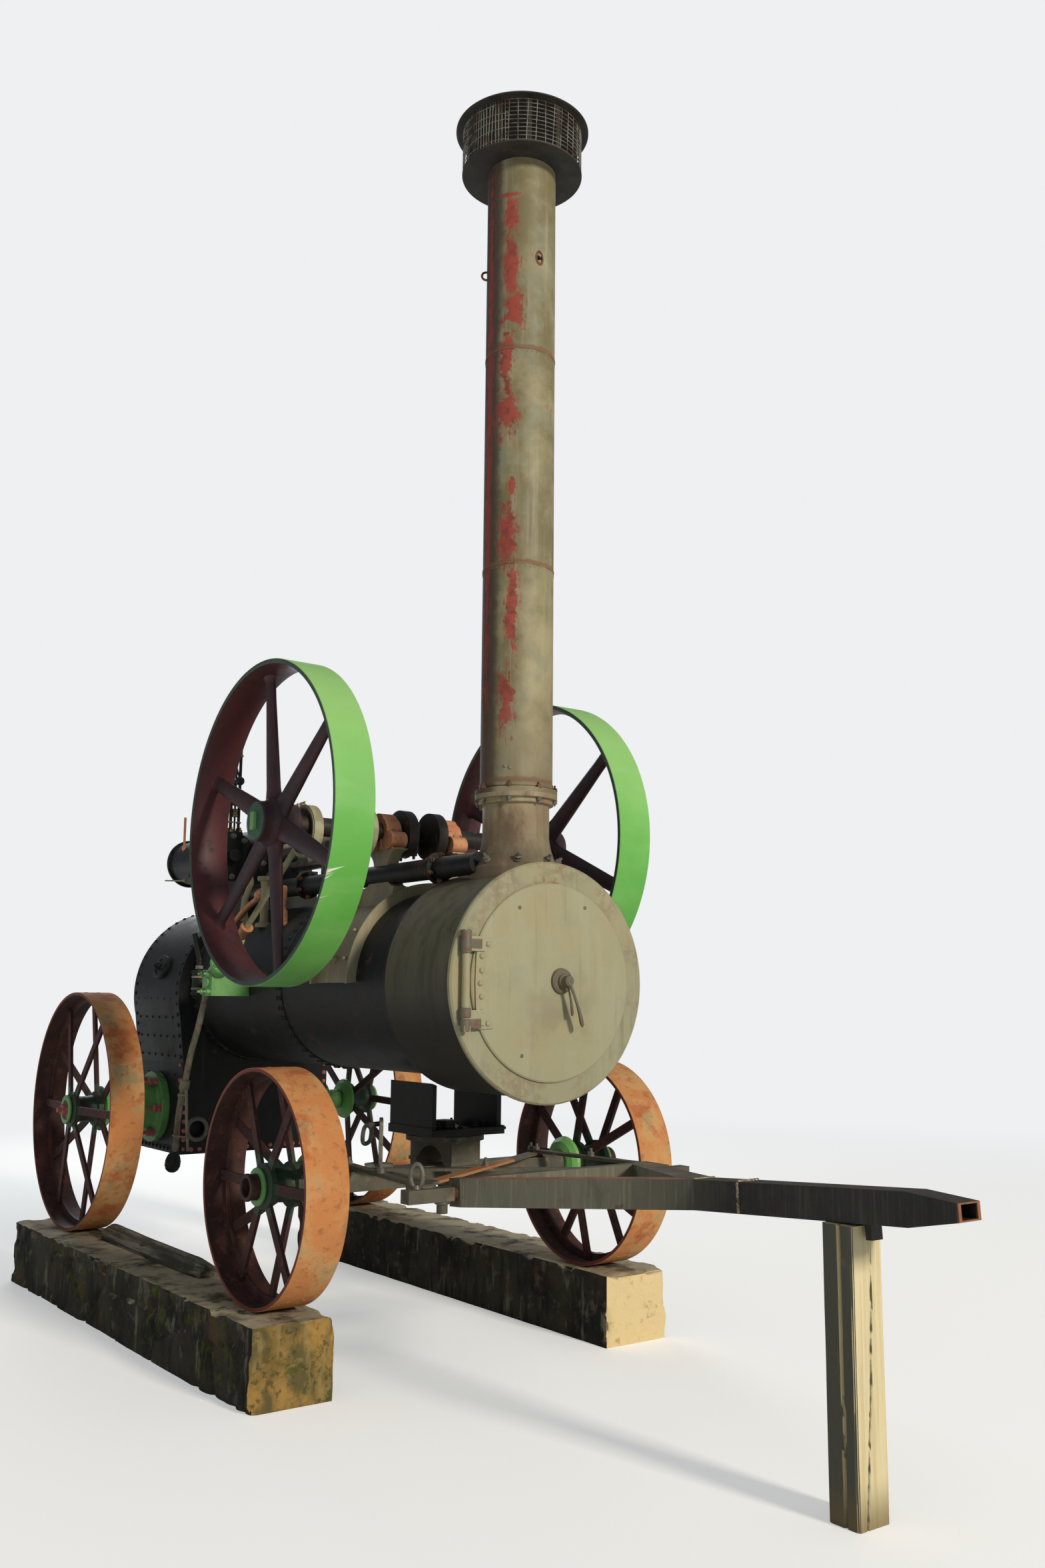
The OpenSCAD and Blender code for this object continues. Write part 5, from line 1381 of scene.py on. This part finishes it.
# Feed pump and suction pipe
# The bright green plunger pump draws through a pale dusty pipe that hangs down past the throat
# plate to a black strainer, with a thin drain pipe clipped beside it.
bm = bmesh.new()
pump_at = at(-0.600, 1.010, BOILER_Z + 0.190) @ Matrix.Rotation(PUMP_SLOPE, 4, "X")
lathe(bm, [(0.033, -0.004), (0.040, -0.002), (0.041, 0.010), (0.036, 0.014), (0.033, 0.030)],
      pump_at @ toward((0, 0.004, 0), BACK))
set_out(bm, nut(0.064, 0.026, 0.0, False), [pump_at @ toward((0, 0.128, 0), BACK)])
lathe(bm, [(0.047, -0.006), (0.060, -0.004), (0.062, 0.000), (0.062, 0.014), (0.058, 0.018), (0.047, 0.018)],
      pump_at @ toward((0, 0.160, 0), BACK), 40)
places = [pump_at @ toward(around("Y", a, 0.050) + Vector((0, 0.158, 0)), FORWARD, a)
          for a in (0.5, 1.55, 2.6, 3.65, 4.7, 5.75)]
set_out(bm, nut(0.020, 0.014, 0.014), places)
set_out(bm, nut(0.026, 0.018, 0.012), [toward((-0.641, y, BOILER_Z + z), (-1, 0, 0), y)
                                       for y in (1.192, 1.268) for z in (-0.048, 0.044)])
lathe(bm, [(0, 0.012), (0.026, 0.010), (0.030, 0.004), (0.030, -0.006)],
      toward((-0.640, 1.230, BOILER_Z), (-1, 0, 0)), 28)
piece("pump_studs", bm, "engine", green_paint)
look = Finish("dusty_pipe", (0.215, 0.190, 0.130), 0.7, shine=0.35)
look.patch(9, 0.42, 0.62, (0.140, 0.122, 0.085))
look.patch(34, 0.56, 0.68, (0.160, 0.085, 0.048), 0.85)
look.runs(30, 0.50, 0.66, (0.380, 0.340, 0.235), strength=0.6, flow=0.05)
dusty_pipe = look.wear((0.46, 0.42, 0.30), radius=0.003).grain(90, 0.0005).done()
bm = bmesh.new()
PIPE_X = -0.560
bends = ((1.292, 1.670), (1.360, 1.664), (1.420, 1.620), (1.460, 1.540), (1.510, 1.440), (1.590, 1.300),
         (1.640, 1.170), (1.690, 1.060), (1.716, 0.960), (1.732, 0.860), (1.748, 0.775))
round_bar(bm, curve_through([(PIPE_X, y, z) for y, z in bends], 5), 0.0170, 20)
lathe(bm, [(0.019, -0.030), (0.0255, -0.028), (0.0275, -0.022), (0.0275, 0.022), (0.0255, 0.028),
           (0.019, 0.030)], toward((PIPE_X, 1.652, 1.140), (0, 0.42, -1)), 28)
lathe(bm, [(0.019, -0.012), (0.030, -0.010), (0.030, 0.010), (0.019, 0.012)],
      toward((PIPE_X, 1.306, 1.670), BACK), 6)
drain = [(PIPE_X, 1.628, 1.112), (PIPE_X, 1.616, 1.060), (-0.558, 1.606, 0.960), (-0.552, 1.600, 0.860),
         (-0.545, 1.598, 0.792)]
round_bar(bm, curve_through(drain, 4), 0.0085, 10)
for y, z in ((1.678, 1.085), (1.722, 0.865)):
    round_bar(bm, [(PIPE_X, 1.604, z), (-0.585, 1.640, z), (-0.583, y, z), (PIPE_X, y + 0.020, z)], 0.005, 8)
piece("suction_pipe_run", bm, "engine", dusty_pipe, ["suction_pipe"])
bm = bmesh.new()
bulb = toward((PIPE_X, 1.752, 0.757), (0, 0.25, -1))
lathe(bm, [(0.020, -0.024), (0.026, -0.020), (0.026, -0.006), (0.033, 0.004), (0.039, 0.020), (0.042, 0.042),
           (0.041, 0.062), (0.035, 0.080), (0.022, 0.092), (0, 0.096)], bulb, 36)
set_out(bm, rivet(0.0045, 0.3, 6), [bulb @ toward(around("Z", a, 0.0415) + Vector((0, 0, h)), around("Z", a))
                                    for h in (0.034, 0.046, 0.058) for a in circle(18)])
piece("suction_strainer", bm, "engine", boiler_black)
bm = bmesh.new()
for z in (0.0312, -0.0312):
    lathe(bm, [(0.0360, -0.006), (0.0400, -0.004), (0.0400, 0.004), (0.0360, 0.006)],
          at(-0.566, 1.510, BOILER_Z + z))
set_out(bm, nut(0.022, 0.015, 0.010), [toward(around("X", a, 0.041) + Vector((-0.464, 1.510, BOILER_Z)),
                                              (-1, 0, 0), a) for a in (0.8, 2.4, 3.9, 5.5)])
lathe(bm, [(0.0145, -0.010), (0.022, -0.008), (0.022, 0.008), (0.0145, 0.010)],
      at(-0.566, 1.510, BOILER_Z + 0.084), 6)
piece("check_valve_nuts", bm, "engine", dusty_pipe)

# Saddle and forecarriage
# A black riveted saddle hangs under the smokebox and turns on a cast bolster with an arch through
# which the axle passes. Flat crossed stays run forward to the drawbar's hinges.
PIVOT_Y = -0.091
bm = bmesh.new()
places = [toward(around("Z", a, 0.160) + Vector((0, PIVOT_Y, BOILER_Z - 0.668)), UP, a)
          for a in circle(10, 10)]
set_out(bm, nut(0.024, 0.016, 0.010), [p for p in places if abs(p.translation.x) < 0.15])
round_bar(bm, [(-0.205, -0.287, BOILER_Z - 0.664), (0.0, -0.290, BOILER_Z - 0.662),
               (0.205, -0.287, BOILER_Z - 0.664)], 0.007, 10)
piece("saddle_bolts", bm, "engine", cylinder_black)

look = Finish("carriage_paint", (0.098, 0.090, 0.060), 0.65, shine=0.4, eased=0.003)
look.patch(6, 0.42, 0.64, (0.066, 0.060, 0.042))
look.patch(18, 0.52, 0.68, (0.150, 0.132, 0.086), strength=0.8)
look.flecks((10, 0.56, 0.66), (44, 0.44, 0.56), (0.150, 0.070, 0.036), 0.85)
# faces turned down are darkened: painted shade
look.coat(look.way_z.step(-0.3, -0.9), (0.026, 0.023, 0.017), 0.8, 0.8)
look.wear((0.200, 0.175, 0.120), 0.5, 0.8)
look.grain(80, 0.0010).dent(12, 0.4, 0.6, 0.0008)
# the near strap of the crossed stays keeps its orange primer
from_strap = (look.y - (look.x * 0.627 - 0.4235)).math("ABSOLUTE")
on_strap = from_strap.step(0.046, 0.040) * look.z.step(0.869, 0.8695) * look.x.within(-0.44, 0.24, 0.03)
look.coat(on_strap, (0.420, 0.175, 0.062), 0.7)
look.patch(22, 0.50, 0.64, (0.300, 0.215, 0.105), 0.75, on=on_strap)
painted("front_axle brace_frame", look.done())
bm = bmesh.new()
HINGE_BAR = 0.860
places = [toward((side * x, y, HINGE_BAR + z), UP, x * 9 + y) for side in (-1, 1)
          for x, y, z in ((0.521, -0.116, 0.027), (0.521, -0.068, 0.027), (0.570, -0.470, 0.034))]
places.append(toward((0, -0.4235, HINGE_BAR + 0.022), UP, 0.4))
places += [toward((x, y, 0.883), UP, x) for y in (-0.250, 0.068) for x in (-0.060, 0.060)]
set_out(bm, nut(0.028, 0.018, 0.012), places)
set_out(bm, nut(0.036, 0.022, 0.010), [toward((0, PIVOT_Y + 0.200 * way, 0.817), (0, way, 0))
                                       for way in (-1, 1)])
for side in (-1, 1):
    lathe(bm, [(0.024, -0.058), (0.030, -0.056), (0.032, -0.048), (0.029, -0.040), (0.023, -0.038)],
          at(side * 0.560, -0.925, HINGE_BAR + 0.018), 28)
ring_at = Vector((-0.674, -0.916, 0.9330))
round_bar(bm, [ring_at + Vector((0.0165 * math.cos(t), -0.018 * math.cos(t), 0.046 * math.sin(t)))
               for t in circle(24) + [2 * math.pi]], 0.0095, 12, ends=False)
round_bar(bm, [(-0.674, -0.916, 0.878), (-0.674, -0.916, 0.900)], [0.020, 0.012], 14)
link = [(-0.034, 0.0), (0.034, 0.0)] + [(0.034 * math.cos(a), 0.170 + 0.034 * math.sin(a)) for a in
                                        [math.pi * k / 12 for k in range(13)]]
plate(bm, link, 0.016, at(-0.448, -0.245, 0.894) @ Matrix.Rotation(math.radians(62), 4, "Z")
      @ Matrix.Rotation(math.pi / 2, 4, "X"), 0.003)
round_bar(bm, [(-0.50, -0.215, 0.893), (-0.448, -0.240, 0.897), (-0.39, -0.27, 0.893)],
          [0.012, 0.016, 0.012], flat=0.5)
eye = Vector((-0.455, -0.215, 1.066))
bow = ((-0.012, 0.0, 0), (-0.030, 0.030, -0.010), (-0.034, 0.042, -0.050), (-0.022, 0.058, -0.082),
       (0.000, 0.066, -0.088), (0.020, 0.070, -0.074), (0.026, 0.070, -0.040), (0.022, 0.064, -0.004))
round_bar(bm, curve_through([eye + Vector(p) for p in bow], 4), 0.0095)
round_bar(bm, [eye + Vector((-0.030, -0.014, 0.0)), eye + Vector((0.030, 0.014, 0.0))], 0.0115)
piece("carriage_nuts_ring_and_shackle", bm, "forecarriage", iron)

# Drawbar
# The drawbar is a welded box of steel plate: two splayed legs that meet in one bar, its end cut
# open. Its dark paint is brushed, with bare streaks down the sides and a bright weld bead.
look = Finish("drawbar_steel", (0.021, 0.020, 0.015), 0.5, metal=0.1, eased=0.003)
look.runs(95, 0.46, 0.66, (0.044, 0.042, 0.030), 0.45, flow=0.03)
look.runs(170, 0.54, 0.66, (0.014, 0.013, 0.010), 0.6, 0.7, flow=0.02)
look.patch(4, 0.46, 0.66, (0.012, 0.011, 0.009), 0.6, 0.75)
by_hinge = look.y.step(-2.02, -1.45)
look.coat(by_hinge, (0.150, 0.145, 0.095), 0.55, 0.9)
look.patch(9, 0.46, 0.66, (0.070, 0.065, 0.045), 0.6, 0.6, by_hinge, (1, 1, 0.4))
look.runs(95, 0.52, 0.66, (0.235, 0.225, 0.155), 0.5, 0.5, by_hinge, 0.03)
over = look.way_z.step(0.5, 0.9)
look.patch(5, 0.34, 0.60, (0.075, 0.048, 0.030), 0.75, 0.8, over)
look.flecks((7, 0.58, 0.68), (38, 0.50, 0.60), (0.090, 0.036, 0.020), 0.85, 0.6)
look.patch(20, 0.30, 0.50, (0.300, 0.115, 0.050), 0.85, on=look.y.step(-2.932, -2.939))
inner = over * look.y.within(-1.75, -0.99, 0.05) * look.x.step(-0.02, -0.08)
look.patch(6, 0.30, 0.50, (0.400, 0.120, 0.060), 0.65, 0.85, inner)
painted("drawbar", look.wear((0.120, 0.092, 0.066), 0.45, 0.7, high=0.12).grain(100, 0.0006).done())
SLOPE = at(0, -0.930, 0.860) @ Matrix.Rotation(math.radians(-3.94), 4, "X")
bm = bmesh.new()
chance = random.Random(5)


def weld_bead(run, thick, swell):
    """A bead of weld along a run of places, thick and thin by turns."""
    round_bar(bm, [SLOPE @ Vector(p) for p in run], [thick + swell * (k % 2) for k in range(len(run))], 8)


for x in (-0.0555, 0.0555):
    weld_bead([(x, -1.108 + chance.uniform(-0.0025, 0.0025), -0.052 + 0.0065 * k) for k in range(17)],
              0.0048, 0.0016)
weld_bead([(-0.052 + 0.0065 * k, -1.108 + chance.uniform(-0.003, 0.003), 0.0550) for k in range(17)],
          0.0046, 0.0016)
for side in (-1, 1):
    weld_bead([(side * 0.054 * (1 - k / 14), -0.885, 0.0550) for k in range(15)], 0.0036, 0.0012)
look = Finish("weld_bead", (0.34, 0.31, 0.22), 0.45, metal=0.4)
weld = look.patch(60, 0.48, 0.62, (0.19, 0.11, 0.06), 0.7).grain(200, 0.0004).done()
piece("drawbar_welds", bm, "drawbar", weld)
bm = bmesh.new()
ribs = [(0.0200, 0.0), (0.0225, 0.002)]
for k in range(5):
    ribs += [(0.0225, 0.004 + 0.004 * k), (0.0205, 0.006 + 0.004 * k)]
ribs.append((0.0200, 0.0235))
for side in (-1, 1):
    lathe(bm, ribs, SLOPE @ toward((side * 0.5005, 0, 0), (side, 0, 0)), 24)
    set_out(bm, nut(0.034, 0.014, 0.0, False), [SLOPE @ toward((side * 0.597, 0, 0), (side, 0, 0))])
piece("drawbar_pin_collars", bm, "drawbar", rusty)
